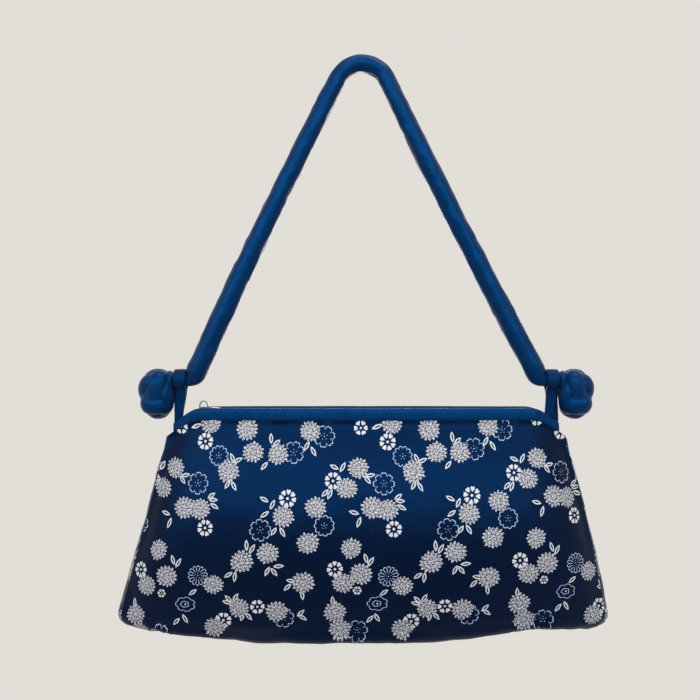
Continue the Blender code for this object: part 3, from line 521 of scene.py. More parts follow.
class Finish:
    """A material being built: its tree, shader and the place on the cloth it reads."""

    def __init__(self, name, roughness, map_name="cloth"):
        self.material = bpy.data.materials.new(name)
        self.material.use_nodes = True
        self.tree = self.material.node_tree
        self.shader = self.tree.nodes["Principled BSDF"]
        self.shader.inputs["Roughness"].default_value = roughness
        self.cloth = self.map(map_name) if map_name else self.object_place()

    def map(self, name):
        node = self.tree.nodes.new("ShaderNodeUVMap")
        node.uv_map = name
        return node.outputs["UV"]

    def object_place(self):
        return self.tree.nodes.new("ShaderNodeTexCoord").outputs["Object"]

    def group(self, group, vector, **values):
        node = self.tree.nodes.new("ShaderNodeGroup")
        node.node_tree = group
        self.tree.links.new(vector, node.inputs[0])
        for label, value in values.items():
            node.inputs[label.replace("_", " ")].default_value = value
        return node.outputs

    def colour(self, share, low, high):
        """Base colour between two colours by a share."""
        node = self.tree.nodes.new("ShaderNodeMix")
        node.data_type = "RGBA"
        node.inputs["A"].default_value = (*low, 1)
        node.inputs["B"].default_value = (*high, 1)
        self.tree.links.new(share, node.inputs["Factor"])
        self.tree.links.new(node.outputs["Result"], self.shader.inputs["Base Color"])

    def rough(self, share, low, high):
        value = math_node(self.tree, "MULTIPLY_ADD", share, high - low, low)
        self.tree.links.new(value, self.shader.inputs["Roughness"])

    def bump(self, height, distance, strength=1.0, under=None):
        node = self.tree.nodes.new("ShaderNodeBump")
        node.inputs["Strength"].default_value = strength
        node.inputs["Distance"].default_value = distance
        self.tree.links.new(height, node.inputs["Height"])
        if under:
            self.tree.links.new(under, node.inputs["Normal"])
        self.tree.links.new(node.outputs["Normal"], self.shader.inputs["Normal"])
        return node.outputs["Normal"]

    def set(self, **values):
        for label, value in values.items():
            self.shader.inputs[label.replace("_", " ")].default_value = value


def satin(name, dark, bright, tint, gloss, roughness, crumple_height):
    """Blue satin: a soft blue gloss over fine warp floats, with slow unevenness."""
    finish = Finish(name, roughness)
    weave = finish.group(WEAVE, finish.cloth, Threads_per_metre=2400.0)
    finish.colour(weave["Streak"], dark, bright)
    finish.rough(weave["Crumple"], roughness - 0.08, roughness + 0.10)
    slow = finish.bump(weave["Crumple"], crumple_height, 0.5)
    finish.bump(weave["Float height"], 0.00004, 0.4, slow)
    finish.set(Specular_IOR_Level=gloss, Specular_Tint=(*tint, 1), Sheen_Weight=0.03,
               Sheen_Roughness=0.45, Sheen_Tint=(0.10, 0.35, 0.9, 1))
    return finish.material


def thread_finish(name, dark, bright, roughness):
    """White or silver figure threads, lying across the ground as short floats."""
    finish = Finish(name, roughness)
    weave = finish.group(WEAVE, finish.cloth, Threads_per_metre=2200.0)
    finish.colour(weave["Streak"], dark, bright)
    finish.bump(weave["Float height"], 0.00005, 0.5)
    finish.set(Sheen_Weight=0.1, Specular_IOR_Level=0.4)
    return finish.material


def petal_finish():
    """Silver chrysanthemum petals with the navy ground showing between them, painted glints in
    their speckle and painted shade towards their bases.
    """
    finish = Finish("silver petals", 0.5)
    petals = finish.group(PETAL, finish.map("head"))
    weave = finish.group(WEAVE, finish.cloth, Threads_per_metre=2200.0)
    # Speckle: dark specks are navy ground showing between threads, bright specks are painted
    # glints of the silver thread
    speckle = noise(finish.tree, scaled(finish.tree, finish.cloth, 1250, 1250), 1.0, 2.0)
    gaps_and_painted_glints = math_node(finish.tree, "MULTIPLY_ADD", speckle, 7.0, -2.65)
    share = math_node(finish.tree, "MULTIPLY", petals["Shade"], gaps_and_painted_glints, clamp=True)
    finish.colour(share, (0.018, 0.028, 0.065), (0.50, 0.51, 0.55))
    threads = finish.bump(weave["Float height"], 0.00005, 0.4)
    finish.bump(petals["Petal"], 0.0001, 0.5, threads)
    finish.set(Specular_IOR_Level=0.4)
    return finish.material


def plain_finish(name, low, high, roughness, bump, metallic=0.0, scale=900.0, map_name=None):
    """A finish with fine mottling in its colour, gloss and surface."""
    finish = Finish(name, roughness, map_name)
    mottle = noise(finish.tree, finish.cloth, scale, 3.0)
    finish.colour(mottle, low, high)
    finish.rough(mottle, roughness - 0.06, roughness + 0.06)
    finish.bump(mottle, bump, 0.5)
    finish.set(Metallic=metallic)
    return finish.material


BLUE_SATIN = satin("blue satin", (0.0015, 0.0110, 0.044), (0.0015, 0.0180, 0.066),
                   (0.0, 0.28, 1.0), 0.48, 0.37, 0.0005)
# A darker, duller copy of the blue satin for the loops: its darker colour is painted shade
PAINTED_SHADE_SATIN = satin("blue satin darkened with painted shade", (0.0015, 0.0090, 0.034),
                   (0.0015, 0.0140, 0.050), (0.0, 0.28, 1.0), 0.30, 0.42, 0.0005)
NAVY_GROUND = satin("navy satin ground", (0.0016, 0.0024, 0.0085), (0.0020, 0.0036, 0.0120),
                    (0.0, 0.26, 1.0), 0.27, 0.34, 0.0004)
SILVER_PETALS = petal_finish()
WHITE_THREAD = thread_finish("white thread", (0.34, 0.37, 0.42), (0.60, 0.63, 0.68), 0.5)
LINE_THREAD = thread_finish("outline thread", (0.24, 0.32, 0.50), (0.42, 0.52, 0.74), 0.5)
LINING_CLOTH = plain_finish("navy lining cloth", (0.006, 0.014, 0.045), (0.010, 0.022, 0.065),
                            0.75, 0.0001)
TAPE_CLOTH = plain_finish("navy zip tape", (0.005, 0.014, 0.050), (0.009, 0.024, 0.080),
                          0.8, 0.0001, scale=2500.0)
COIL_NYLON = plain_finish("navy zip coil", (0.006, 0.018, 0.060), (0.010, 0.030, 0.090),
                          0.42, 0.00003)
ZIP_METAL = plain_finish("zip metal", (0.13, 0.13, 0.13), (0.19, 0.19, 0.19),
                         0.36, 0.00001, metallic=1.0)
BROCADE = [NAVY_GROUND, SILVER_PETALS, WHITE_THREAD, LINE_THREAD]


# Drawing the woven figure as flat outlines

def turned(points, degrees):
    angle = math.radians(degrees)
    x, y = points[:, 0], points[:, 1]
    return np.stack([x * math.cos(angle) - y * math.sin(angle),
                     x * math.sin(angle) + y * math.cos(angle)], -1)


def round_line(radii, start=0.0):
    turns = start + around(len(radii))
    return np.stack([radii * np.cos(turns), radii * np.sin(turns)], -1)


def head_motif(luck):
    """The rim of a chrysanthemum head: sixteen pointed petals. Its reach and start follow."""
    reach = 0.0067 * luck.uniform(0.94, 1.04)
    shape = np.tile([0.74, 0.92, 1.02, 0.92], 16)
    long = np.repeat(luck.uniform(0.90, 1.08, 16), 4)
    start = luck.uniform(0, math.tau)
    outline = round_line(reach * shape * mix(1, long, np.tile([0, 0.8, 1, 0.8], 16)), start)
    return [(PETALS, outline * [1.0, 0.94], reach, start)]


def white_flower_motif(radius, luck):
    """Separate wedge petals with notched tips round a ring of dots."""
    radius /= 1000
    count = 8 if radius > 0.0045 else 6
    parts = []
    half = math.pi / count
    petal = [(0.40, 0.0), (0.60, -0.66 * half), (0.86, -0.80 * half), (1.0, -0.42 * half),
             (0.92, 0.0), (1.0, 0.42 * half), (0.86, 0.80 * half), (0.60, 0.66 * half)]
    start = luck.uniform(0, 90)
    for i in range(count):
        points = np.array([[radius * r * math.cos(a), radius * r * math.sin(a)] for r, a in petal])
        parts.append((WHITE, turned(points, start + 360 * i / count)))
    parts.append((WHITE, round_line(np.full(6, 0.17 * radius))))
    return parts


def blossom_motif(lobes, luck):
    """The thin outline of an open blossom, with a few stamens."""
    radius = 0.0060 if lobes > 10 else 0.0067
    turns = around(84)
    wave = abs(np.sin(lobes * turns / 2)) ** 0.55
    deep = 0.22 if lobes > 10 else 0.38
    outline = radius * (1 - deep + deep * wave)
    if lobes < 10:
        outline -= radius * 0.10 * abs(np.sin(lobes * turns / 2)) ** 24
    start = luck.uniform(0, math.tau)
    parts = [(LINE, round_line(outline, start)),
             (GROUND, round_line(outline * 0.985 - LINE_WIDTH, start))]
    if lobes == 14:
        for i in range(lobes):
            spoke = np.array([[0.40, -0.02], [0.80, -0.035], [0.80, 0.035], [0.40, 0.02]])
            turn = math.degrees(start) + 360 * i / lobes
            parts.append((LINE, turned(spoke * radius, turn)))
    for i in range(5):
        dot = round_line(np.full(4, 0.00028)) + [0.26 * radius, 0]
        parts.append((LINE, turned(dot, 72 * i + 20)))
    parts.append((LINE, round_line(np.full(5, 0.00035))))
    return parts


def sprig_motif(_):
    """A small cloud-like blossom outline with a curl inside, the same each time."""
    turns = around(60)
    outline = 0.0054 * (0.78 + 0.22 * abs(np.sin(3.5 * turns)) ** 0.6)
    inner = 0.0024 * (0.80 + 0.20 * abs(np.sin(2.5 * turns)) ** 0.6)
    parts = []
    for radii, shift in ((outline, 0.0), (inner, -0.0004)):
        for kind, less in ((LINE, 0.0), (GROUND, LINE_WIDTH)):
            parts.append((kind, round_line(radii - less) * [1.15, 0.85] + [shift, 0]))
    parts.append((LINE, round_line(np.full(6, 0.0006))))
    return parts


def leaf_motif(degrees, luck):
    """An almond leaf drawn as a broad line round an open middle."""
    long = 0.0030 * luck.uniform(0.92, 1.12)
    wide = 0.00125
    blade = np.array([[-1, 0], [-0.55, -0.72], [0.05, -1], [0.6, -0.62], [1.0, 0], [0.6, 0.62],
                      [0.05, 1], [-0.55, 0.72]]) * [long, wide]
    rib = np.array([[-0.70, -0.04], [-0.20, -0.40], [0.30, -0.40], [0.68, 0], [0.30, 0.30],
                    [-0.20, 0.30]]) * [long, wide]
    return [(WHITE, turned(blade, degrees)), (GROUND, turned(rib, degrees))]


def eased(x, y):
    """Where the cloth's ease at the bag's ends moves a place of the woven figure."""
    depth = -y / BODY_HEIGHT
    ease = LEFT_END_EASE if x < 0 else RIGHT_END_EASE
    across = x * (1 + ease * depth * float(ramp(abs(x), 0.080, 0.135)))
    across -= LEFT_END_SHIFT * float(ramp(-x, 0.03, 0.08))
    up = y + RIGHT_END_LIFT * float(ramp(x, 0.03, 0.11))
    return np.array([across, up - LEFT_END_DROP * depth * float(ramp(-x, 0.085, 0.120))])


FIGURE = ((BLOSSOMS, blossom_motif, 100), (SPRIGS, sprig_motif, 150), (LEAVES, leaf_motif, 200),
          (WHITE_FLOWERS, white_flower_motif, 300), (HEADS, head_motif, 400))


def print_over(low, high, shift):
    """All figure outlines that may touch a flat area, in the order they are woven."""
    outlines = []
    first = math.floor((low - shift) / REPEAT) - 1
    last = math.ceil((high - shift) / REPEAT) + 1
    for column in range(first, last + 1):
        for places, motif, seed in FIGURE:
            for i, (across, down, *detail) in enumerate(places):
                centre = eased(across / 1000 + column * REPEAT + shift, -down / 1000)
                for kind, points, *head in motif(*detail, np.random.default_rng(seed + i)):
                    outlines.append((kind, points + centre, (centre, *head) if head else None))
    return outlines


def touches(points, outline_low, outline_high):
    return (points.max(0) > outline_low).all() and (points.min(0) < outline_high).all()


def cut_sheet(outline, spare, shift):
    """Cut a flat sheet of brocade: points, triangles, kind of each, and its head if any."""
    low, high = outline.min(0), outline.max(0)
    figure = [part for part in print_over(low[0], high[0], shift)
              if touches(part[1], low, high)]
    points = [outline, *[part[1] for part in figure], spare]
    starts = np.cumsum([0] + [len(part) for part in points])
    polygons = [list(range(starts[i], starts[i + 1])) for i in range(len(points) - 1)]
    flat, _, triangles, _, _, origins = delaunay_2d_cdt(
        [Vector(p) for part in points for p in part], [], polygons, 0, 1e-7)
    kept = []
    kinds = []
    heads = []
    for triangle, origin in zip(triangles, origins):
        if 0 not in origin:
            continue
        top = max(origin)
        part = figure[top - 1] if top else (GROUND, None, None)
        kept.append(triangle)
        kinds.append(part[0])
        heads.append(part[2])
    used = np.unique(np.array(kept))
    number = np.full(len(flat), -1)
    number[used] = np.arange(len(used))
    places = np.array([flat[i] for i in used])
    return places, number[np.array(kept)], kinds, heads


def sheet_object(name, places, triangles, kinds, heads, outer, normals):
    """A thin closed sheet: its outer face, the same face moved in, and a rim."""
    count = len(outer)
    points = np.concatenate([outer, outer - normals * CLOTH_THICKNESS])
    faces = [list(t) for t in triangles] + [[t[2] + count, t[1] + count, t[0] + count]
                                            for t in triangles]
    edges = set()
    for t in triangles.tolist():
        edges.update(((t[0], t[1]), (t[1], t[2]), (t[2], t[0])))
    rim = [(i, j) for i, j in edges if (j, i) not in edges]
    faces += [[j, i, i + count, j + count] for i, j in rim]
    cloth = [places[triangles].reshape(-1, 2), places[triangles[:, ::-1]].reshape(-1, 2)]
    cloth += [places[[j, i, i, j]] for i, j in rim]
    local = np.zeros((len(triangles), 3, 2))
    for row, head in enumerate(heads):
        if head is not None:
            centre, reach, start = head
            local[row] = turned((places[triangles[row]] - centre) / reach, -math.degrees(start))
    blank = np.zeros((len(triangles) * 3 + len(rim) * 4, 2))
    all_kinds = list(kinds) + [GROUND] * (len(triangles) + len(rim))
    return cloth_object(name, points, faces, BROCADE, all_kinds, {
        "cloth": np.concatenate(cloth), "head": np.concatenate([local.reshape(-1, 2), blank])})


def sew_in(made):
    """Dress a sheet of brocade on the piece that it hangs from."""
    dress(made, "bag", made.name.replace("_cloth", ""))


# Slack of the walls, from a cloth simulation of each wall between its seams

SLACK_COLUMNS = 96
SLACK_ROWS = 48
SLACK_LIMIT_OUT = 0.0028
SLACK_LIMIT_IN = 0.0010
SLACK_START = 0.0006
SLACK_STEPS = 30
SLACK_CLOTH = {"quality": 6, "mass": 0.12, "tension_stiffness": 12, "compression_stiffness": 12,
               "shear_stiffness": 4, "bending_stiffness": 0.25, "shrink_min": -0.014,
               "vertex_group_mass": "sewn", "pin_stiffness": 1.0}


def slack_grid():
    """Even points of the front wall from seam to seam and from top to base."""
    u, share = np.meshgrid(np.linspace(-1, 1, SLACK_COLUMNS + 1),
                           np.linspace(0, 1, SLACK_ROWS + 1))
    c = u * seam_share(share)
    return c, share * cloth_length(c)


def simulated_slack(name, seed):
    """How far a slack wall hangs outwards once it is sewn round its edge, over slack_grid."""
    c, w = slack_grid()
    start = wall_point(c, w)
    normals = wall_normal(c, w)
    rows, columns = c.shape
    u = np.linspace(-1, 1, columns)[None, :]
    share = np.linspace(0, 1, rows)[:, None]
    begin = SLACK_START * (1 - u ** 2) * np.sin(np.pi * share)
    begin = begin * (1 + crumple(c * WALL_REACH, w, 0.03, seed))
    faces = [[i * columns + j, i * columns + j + 1, (i + 1) * columns + j + 1,
              (i + 1) * columns + j] for i in range(rows - 1) for j in range(columns - 1)]
    sheet = cloth_object(name, (start + normals * begin[..., None]).reshape(-1, 3), faces, [])
    pins = sheet.vertex_groups.new(name="sewn")
    sewn = [i * columns + j for i in range(rows) for j in range(columns)
            if i in (0, rows - 1) or j in (0, columns - 1)]
    pins.add(sewn, 1.0, "REPLACE")
    cloth = sheet.modifiers.new("slack", "CLOTH")
    for label, value in SLACK_CLOTH.items():
        setattr(cloth.settings, label, value)
    cloth.collision_settings.use_collision = False
    scene = bpy.context.scene
    for step in range(1, SLACK_STEPS + 1):
        scene.frame_set(step)
    shape = sheet.evaluated_get(bpy.context.evaluated_depsgraph_get()).data
    moved = np.zeros(len(shape.vertices) * 3)
    shape.vertices.foreach_get("co", moved)
    scene.frame_set(1)
    out = ((moved.reshape(rows, columns, 3) - start) * normals).sum(-1)
    bpy.data.objects.remove(sheet, do_unlink=True)
    return np.clip(out, -SLACK_LIMIT_IN, SLACK_LIMIT_OUT)


def read_grid(grid, c, share):
    u = (c / seam_share(share) + 1) / 2 * SLACK_COLUMNS
    v = share * SLACK_ROWS
    i = np.clip(u.astype(int), 0, SLACK_COLUMNS - 1)
    j = np.clip(v.astype(int), 0, SLACK_ROWS - 1)
    a, b = u - i, v - j
    upper = mix(grid[j, i], grid[j, i + 1], a)
    lower = mix(grid[j + 1, i], grid[j + 1, i + 1], a)
    return mix(upper, lower, b)


# Small folds that a seam draws in: height, how far each reaches from the seam, step between bumps
TOP_PUCKERS = ((0.00038, 0.0045, 0.0036), (0.00030, 0.012, 0.011))
BASE_PUCKERS = ((0.00035, 0.005, 0.005), (0.0006, 0.014, 0.016))
END_PUCKERS = ((0.00035, 0.005, 0.006), (0.0006, 0.018, 0.020))
GUSSET_PUCKERS = ((0.0004, 0.006, 0.007),)
BOTTOM_PUCKERS = ((0.0004, 0.005, 0.006),)


def puckers(folds, away, along, seed):
    """The folds of a seam, fading with the distance away from it."""
    return sum(height * np.exp(-away / reach) * wander(along, step, seed + i)
               for i, (height, reach, step) in enumerate(folds))


def wall_relief(slack, c, share, seed):
    """Outward folds of a wall: its slack, and puckers along the seams."""
    down = share * cloth_length(c)
    up = cloth_length(c) - down
    reach = HALF_WIDTH_LOW * c
    aside = (seam_share(share) - abs(c)) * HALF_WIDTH_LOW
    inner = ramp(np.minimum(np.minimum(down, up), aside), 0, 0.0022)
    folds = puckers(TOP_PUCKERS, down, reach, seed)
    folds = folds + puckers(BASE_PUCKERS, up, reach, seed + 2)
    folds = folds + puckers(END_PUCKERS, aside, down, seed + 4)
    folds = folds + 0.00022 * crumple(reach, down, 0.013, seed + 6)
    return read_grid(slack, c, share) + inner * folds


def patch_outline(flat, across, shares):
    """The rim of a four-sided patch, from one end of its foot round to the same place."""
    one = np.ones_like
    inner = shares[1:-1]
    return np.concatenate([flat(across, one(across)), flat(one(inner), inner[::-1]),
                           flat(across[::-1], 0 * across), flat(-one(inner), inner)])


def patch_grid(flat, across, shares):
    """Spare points inside a four-sided patch."""
    grid_across, grid_share = np.meshgrid(across, shares)
    return flat(grid_across.ravel(), grid_share.ravel())


def wall_sheet(name, side, shift, slack, seed):
    """The front (side -1) or back (side 1) panel in figured satin."""
    seen = np.array([-side, 1.0])
    mirror = np.array([1.0, -side, 1.0])

    def flat(us, shares):
        return flat_from_wall(-side * us * seam_share(shares), shares) * seen

    outline = patch_outline(flat, np.linspace(-1, 1, 121), np.linspace(0, 1, 49))
    shares = np.concatenate([[0.008, 0.018, 0.03, 0.045], np.linspace(0.066, 0.93, 42),
                             [0.950, 0.968, 0.984, 0.994]])
    us = np.linspace(-1, 1, 133)[1:-1]
    us = us * 0.85 + np.sin(np.pi / 2 * us) * 0.15
    places, triangles, *print_kinds = cut_sheet(outline, patch_grid(flat, us, shares), shift)
    c, share = wall_from_flat(places * seen)
    w = share * cloth_length(c)
    normals = wall_normal(c, w)
    outer = (wall_point(c, w) + normals * wall_relief(slack, c, share, seed)[:, None]) * mirror
    made = sheet_object(name, places, triangles, *print_kinds, outer, normals * mirror)
    sew_in(made)


def gusset_sheet(name, side, seed):
    """The wedge that closes one end, in figured satin."""
    rows = np.linspace(0, 1, 61)
    ts = np.linspace(-1, 1, 13)
    length = float(cloth_length(np.array(0.999 * side)))

    def place(t, share):
        limit = 1 - CLEARANCE / abs(end_point(np.ones_like(share), share, side)[:, 1])
        return end_point(t * limit, share, side)

    half = abs(place(np.ones_like(rows), rows)[:, 1])

    def flat(t, share):
        return np.stack([t * np.interp(share, rows, half), -share * length], -1)

    places, triangles, *print_kinds = cut_sheet(
        patch_outline(flat, ts, rows), patch_grid(flat, ts[1:-1], rows[1:-1]),
        GUSSET_FIGURE_SHIFT * side)
    share = np.clip(-places[:, 1] / length, 0, 1)
    t = np.clip(places[:, 0] / np.interp(share, rows, half), -1, 1)
    step = 1e-3
    aside = place(np.clip(t + step, -1, 1), share) - place(np.clip(t - step, -1, 1), share)
    along = place(t, np.clip(share - step, 0, 1)) - place(t, np.clip(share + step, 0, 1))
    normals = unit(np.cross(aside, along)) * side
    edge = (1 - abs(t)) * np.interp(share, rows, half)
    inner = ramp(np.minimum(edge, np.minimum(share, 1 - share) * length), 0, 0.0012)
    folds = inner * (puckers(GUSSET_PUCKERS, edge, share * length, seed)
                     + 0.0003 * crumple(places[:, 0], places[:, 1], 0.010, seed))
    outer = place(t, share) + normals * folds[:, None]
    facing = triangles if side > 0 else triangles[:, ::-1]
    made = sheet_object(name, places, facing, *print_kinds, outer, normals)
    turn_outwards(made)
    sew_in(made)


def base_edge(x):
    half_width, depth, roundness, _, _ = ring_at(0.0, cloth_length(0.0))
    return oval(depth, np.minimum(1.0, abs(x) / half_width), roundness)


def base_sheet(name, seed):
    """The long base that sags between the seams, in figured satin."""
    half_width = HALF_WIDTH_LOW - LOWER_ROUND
    middle = np.array([HANG_OFFSET + BODY_LEAN, 0, 0])
    figure_place = np.array([0, -BASE_FIGURE_DROP])
    low_seam = SEAM_LOW_SHARE * half_width
    xs = np.linspace(-low_seam, low_seam, 111)
    ts = np.linspace(-1, 1, 13)[1:-1]

    def end(side):
        return (end_point(ts * side, np.ones_like(ts), side) - middle)[:, :2]

    front = np.stack([xs, -base_edge(xs)], -1)
    outline = np.concatenate([front, end(1), -front, end(-1)])
    outline[:, 1] -= np.sign(outline[:, 1]) * np.minimum(CLEARANCE, abs(outline[:, 1]))
    outline *= [1 - CLEARANCE / half_width, 1]
    spare = patch_grid(lambda x, t: np.stack([x, t * base_edge(x)], -1), xs[1:-1],
                       np.linspace(-0.9, 0.9, 15))
    places, triangles, *print_kinds = cut_sheet(outline + figure_place, spare + figure_place,
                                                BASE_FIGURE_SHIFT)
    x, y = (places - figure_place).T
    inside = np.maximum(base_edge(x), CLEARANCE) - abs(y)
    folds = ramp(inside, 0, 0.002) * (puckers(BOTTOM_PUCKERS, inside, x, seed)
                                      + 0.0004 * crumple(x, y, 0.016, seed))

    def height(x, y):
        c = np.clip(x / half_width, -1, 1)
        edge = np.maximum(base_edge(x), CLEARANCE)
        sag = BASE_SAG * np.maximum(0, 1 - (y / edge) ** 2) * (1 - c * c)
        return PANEL_TOP_Z - BODY_HEIGHT + base_rise(c) - sag

    step = 1e-4
    slope_x = (height(x + step, y) - height(x - step, y)) / (2 * step)
    slope_y = (height(x, y + step) - height(x, y - step)) / (2 * step)
    normals = unit(np.stack([slope_x, slope_y, -np.ones_like(x)], -1))
    outer = middle + np.stack([x, y, height(x, y)], -1) + normals * folds[:, None]
    made = sheet_object(name, places, triangles[:, ::-1], *print_kinds, outer, normals)
    turn_outwards(made)
    sew_in(made)


def lining_sack():
    """The thin lining that hangs inside, open at the top."""
    end_share = 0.995
    fold_height = 0.0003
    cs = np.sin(np.pi / 2 * np.linspace(-1, 1, 41)) * end_share
    outer, normals = [], []
    for share in np.linspace(0, 1, 25)[::-1]:
        w = share * cloth_length(cs)
        front = wall_normal(cs, w)
        place = wall_point(cs, w) - [HANG_OFFSET, 0, 0] - front * LINING_INSET
        place = place * [mix(LINING_TOP_SHARE, 1, ramp(share, 0, LINING_REACH_SHARE)), 1, 1]
        folds = fold_height * (1 + crumple(cs * WALL_REACH, w, 0.012, 71))
        place = place - front * folds[:, None]
        place = place + [HANG_OFFSET, 0, 0]
        for rows, half in ((outer, place), (normals, front)):
            rows.append(np.concatenate([half, half[::-1] * [1, -1, 1]]))
    outer = np.array(outer)
    rows, count = outer.shape[:2]
    total = rows * count
    faces = [[i * count + j, i * count + (j + 1) % count, (i + 1) * count + (j + 1) % count,
              (i + 1) * count + j] for i in range(rows - 1) for j in range(count)]
    faces += [[j + 1, j, count - 1 - j, count - 2 - j] for j in range(len(cs) - 1)]
    faces += [[k + total for k in reversed(face)] for face in faces]
    rim = list(range(total - count, total))
    faces += [[j, k, k + total, j + total] for j, k in zip(rim, rim[1:] + rim[:1])]
    points = np.concatenate([outer, outer - np.array(normals) * LINING_THICKNESS])
    made = cloth_object("lining_sack", points.reshape(-1, 3), faces, [LINING_CLOTH])
    turn_outwards(made)
    dress(made, "bag", "lining")


# Bindings

def top_half_depth(x):
    return oval(HALF_DEPTH_TOP, np.minimum(1.0, abs(x) / HALF_WIDTH_TOP), ROUNDNESS_TOP)


def binding_size(c):
    share = ramp(abs(c), BINDING_TAPER_SHARE, BINDING_END_SHARE)
    legs = LOOP_LEG_GAP / 2 + LOOP_THICKNESS + CLEARANCE
    end = top_half_depth(BINDING_END_SHARE * HALF_WIDTH_TOP) + BINDING_PROUD - legs
    return mix(BINDING_HEIGHT, BINDING_END_HEIGHT, share), mix(BINDING_THICKNESS, end, share)


def binding_roll(name, side, seed):
    """A padded satin roll along one top edge, drawn in unevenly by its stitches."""
    stitch_dent, fine_dent, slow_dent = 0.00044, 0.00020, 0.00020
    lip_drop, lip_out = 0.0022, 0.0008
    end_size = 0.72
    swell = 0.75
    cs = np.linspace(-BINDING_END_SHARE, BINDING_END_SHARE, 401)
    cs = np.concatenate([[cs[0]], cs[:1] + 0.0001, cs[1:-1], cs[-1:] - 0.0001, [cs[-1]]])
    cs = cs[:, None]
    x = cs * HALF_WIDTH_TOP
    height, thickness = binding_size(cs)
    close = np.ones_like(cs)
    close[[0, -1]] = end_size
    slope = (top_half_depth(x + 1e-4) - top_half_depth(x - 1e-4)) / 2e-4
    outward = unit(np.stack([-slope, np.ones_like(x)], -1))
    middle = top_half_depth(x) + BINDING_PROUD - thickness / 2
    foot = PANEL_TOP_Z - top_drop(cs) + CLEARANCE
    cos, sin = np.cos(around(22, 0.5)), np.sin(around(22, 0.5))
    face = np.clip(cos, 0, 1)
    low = np.clip(-sin * 0.5 + 0.5, 0, 1) ** 1.5
    lip = face * np.clip(-sin, 0, 1)
    slow = wander(x, 0.016, seed + 2)
    dent = stitch_dent * low * wander(x, 0.0042, seed) * face
    dent = dent + fine_dent * wander(x, 0.0019, seed + 1) * face + slow_dent * slow
    full = thickness / 2 * squarish(cos, swell)
    out = close * (1 + (dent - slow_dent) / (thickness / 2)) * full
    up = height / 2 * squarish(sin, swell) * close * (1 - 0.012 * (1 + slow))
    rings = np.stack([x + HANG_OFFSET + out * outward[..., 0],
                      side * (middle + out * outward[..., 1]) + side * lip_out * lip,
                      foot + height / 2 + up - lip_drop * lip], -1)
    made = dress(ring_tube(name, rings, [BLUE_SATIN]), "bag", name.replace("_roll", ""))


# Handle, loops and knots

def arc(centre, radius, start, end, step):
    count = max(2, math.ceil(abs(end - start) * radius / step))
    return [centre + radius * np.array([math.cos(a), 0, math.sin(a)])
            for a in np.linspace(start, end, count + 1)]


def half_handle_path(side, step):
    """The centreline from the hang point to one neck's end, drawn towards +X."""
    top = np.array([0, 0, TUBE_RADIUS_TOP - TOP_BEND_RADIUS])
    low = np.array([LOOP_INNER_X + side * HANG_OFFSET, 0, NECK_BEND_RADIUS - NECK_DROP])
    span = low - top
    lean = math.atan2(span[0], -span[2])
    lean -= math.asin((TOP_BEND_RADIUS + NECK_BEND_RADIUS) / np.linalg.norm(span))
    points = arc(top, TOP_BEND_RADIUS, math.pi / 2, lean, step)
    bend = arc(low, NECK_BEND_RADIUS, math.pi + lean, 1.5 * math.pi, step / 2)
    start = points[-1]
    count = math.ceil(np.linalg.norm(bend[0] - start) / step)
    points += [mix(start, bend[0], i / count) for i in range(1, count)] + bend
    width = LOOP_OUTER_X - LOOP_INNER_X
    points += [bend[-1] + [width * i / 5, 0, 0] for i in range(1, 5)]
    dive = np.array([low[0] + width, 0, -NECK_DROP - NECK_BEND_RADIUS])
    points += arc(dive, NECK_BEND_RADIUS, math.pi / 2, math.pi / 2 - NECK_DIP, step / 2)
    heading = np.array([math.cos(NECK_DIP), 0, -math.sin(NECK_DIP)])
    points.append(points[-1] + heading * NECK_BEND_RADIUS / 3)
    return points


def tube_radius(drop, out):
    share = drop / NECK_DROP
    padded = mix(TUBE_RADIUS_TOP, TUBE_RADIUS_LEG, ramp(share, 0, 0.25))
    padded = mix(padded, TUBE_RADIUS_LOW, ramp(share, 0.45, 0.8))
    return mix(NECK_RADIUS, padded, ramp(out, 0, NECK_TAPER))


def padded_handle():
    """The padded satin tube, with faint creases, a seam inside and gathers at its necks."""
    path = []
    radii = []
    for side in (-1, 1):
        half = half_handle_path(side, 0.0015)
        loop_x = LOOP_INNER_X + side * HANG_OFFSET
        out_x = LOOP_OUTER_X + side * HANG_OFFSET + CLEARANCE
        widths = [tube_radius(-point[2], loop_x - point[0])
                  + NECK_SWELL * ramp(point[0] - out_x, 0, 0.0012) for point in half]
        placed = [point * [side, 1, 1] for point in half]
        path += placed if side > 0 else placed[:0:-1]
        radii += widths if side > 0 else widths[:0:-1]
    path = np.array(path)
    radii = np.array(radii)[:, None]
    path[:, 0] -= HANDLE_SWAY * np.sin(np.pi * np.clip(-path[:, 2] / NECK_DROP, 0, 1))
    turns = around(40)
    s, g = np.meshgrid(lengths_along(path), turns * TUBE_RADIUS_TURN, indexing="ij")
    twist = g + s * 0.10
    folds = 0.00028 * crumple(s, twist, 0.009, 11) + 0.00020 * crumple(s, twist, 0.0040, 12)
    folds += 0.00028 * crumple(s * 0.25, twist, 0.0030, 13)
    necks = np.clip((GATHER_RADIUS - radii) / (GATHER_RADIUS - NECK_RADIUS), 0, 1)
    gathers = 0.00022 * wander(g, 0.0022, 14) * necks
    top = np.exp(-(path[:, 2] / 0.010) ** 2)[:, None]
    inside = np.clip(-np.cos(turns), 0, 1) ** 2
    creases = 0.00028 * wander(s, 0.0028, 15) * top * inside
    seam = -0.00022 * np.exp(-((np.cos(turns) + 1) / 0.02) ** 2)
    reach = radii - 0.0002 + folds + gathers + creases + seam
    made = ring_tube("padded_handle", centreline_rings(path, reach, turns), [BLUE_SATIN])
    dress(made, "handle", "handle")


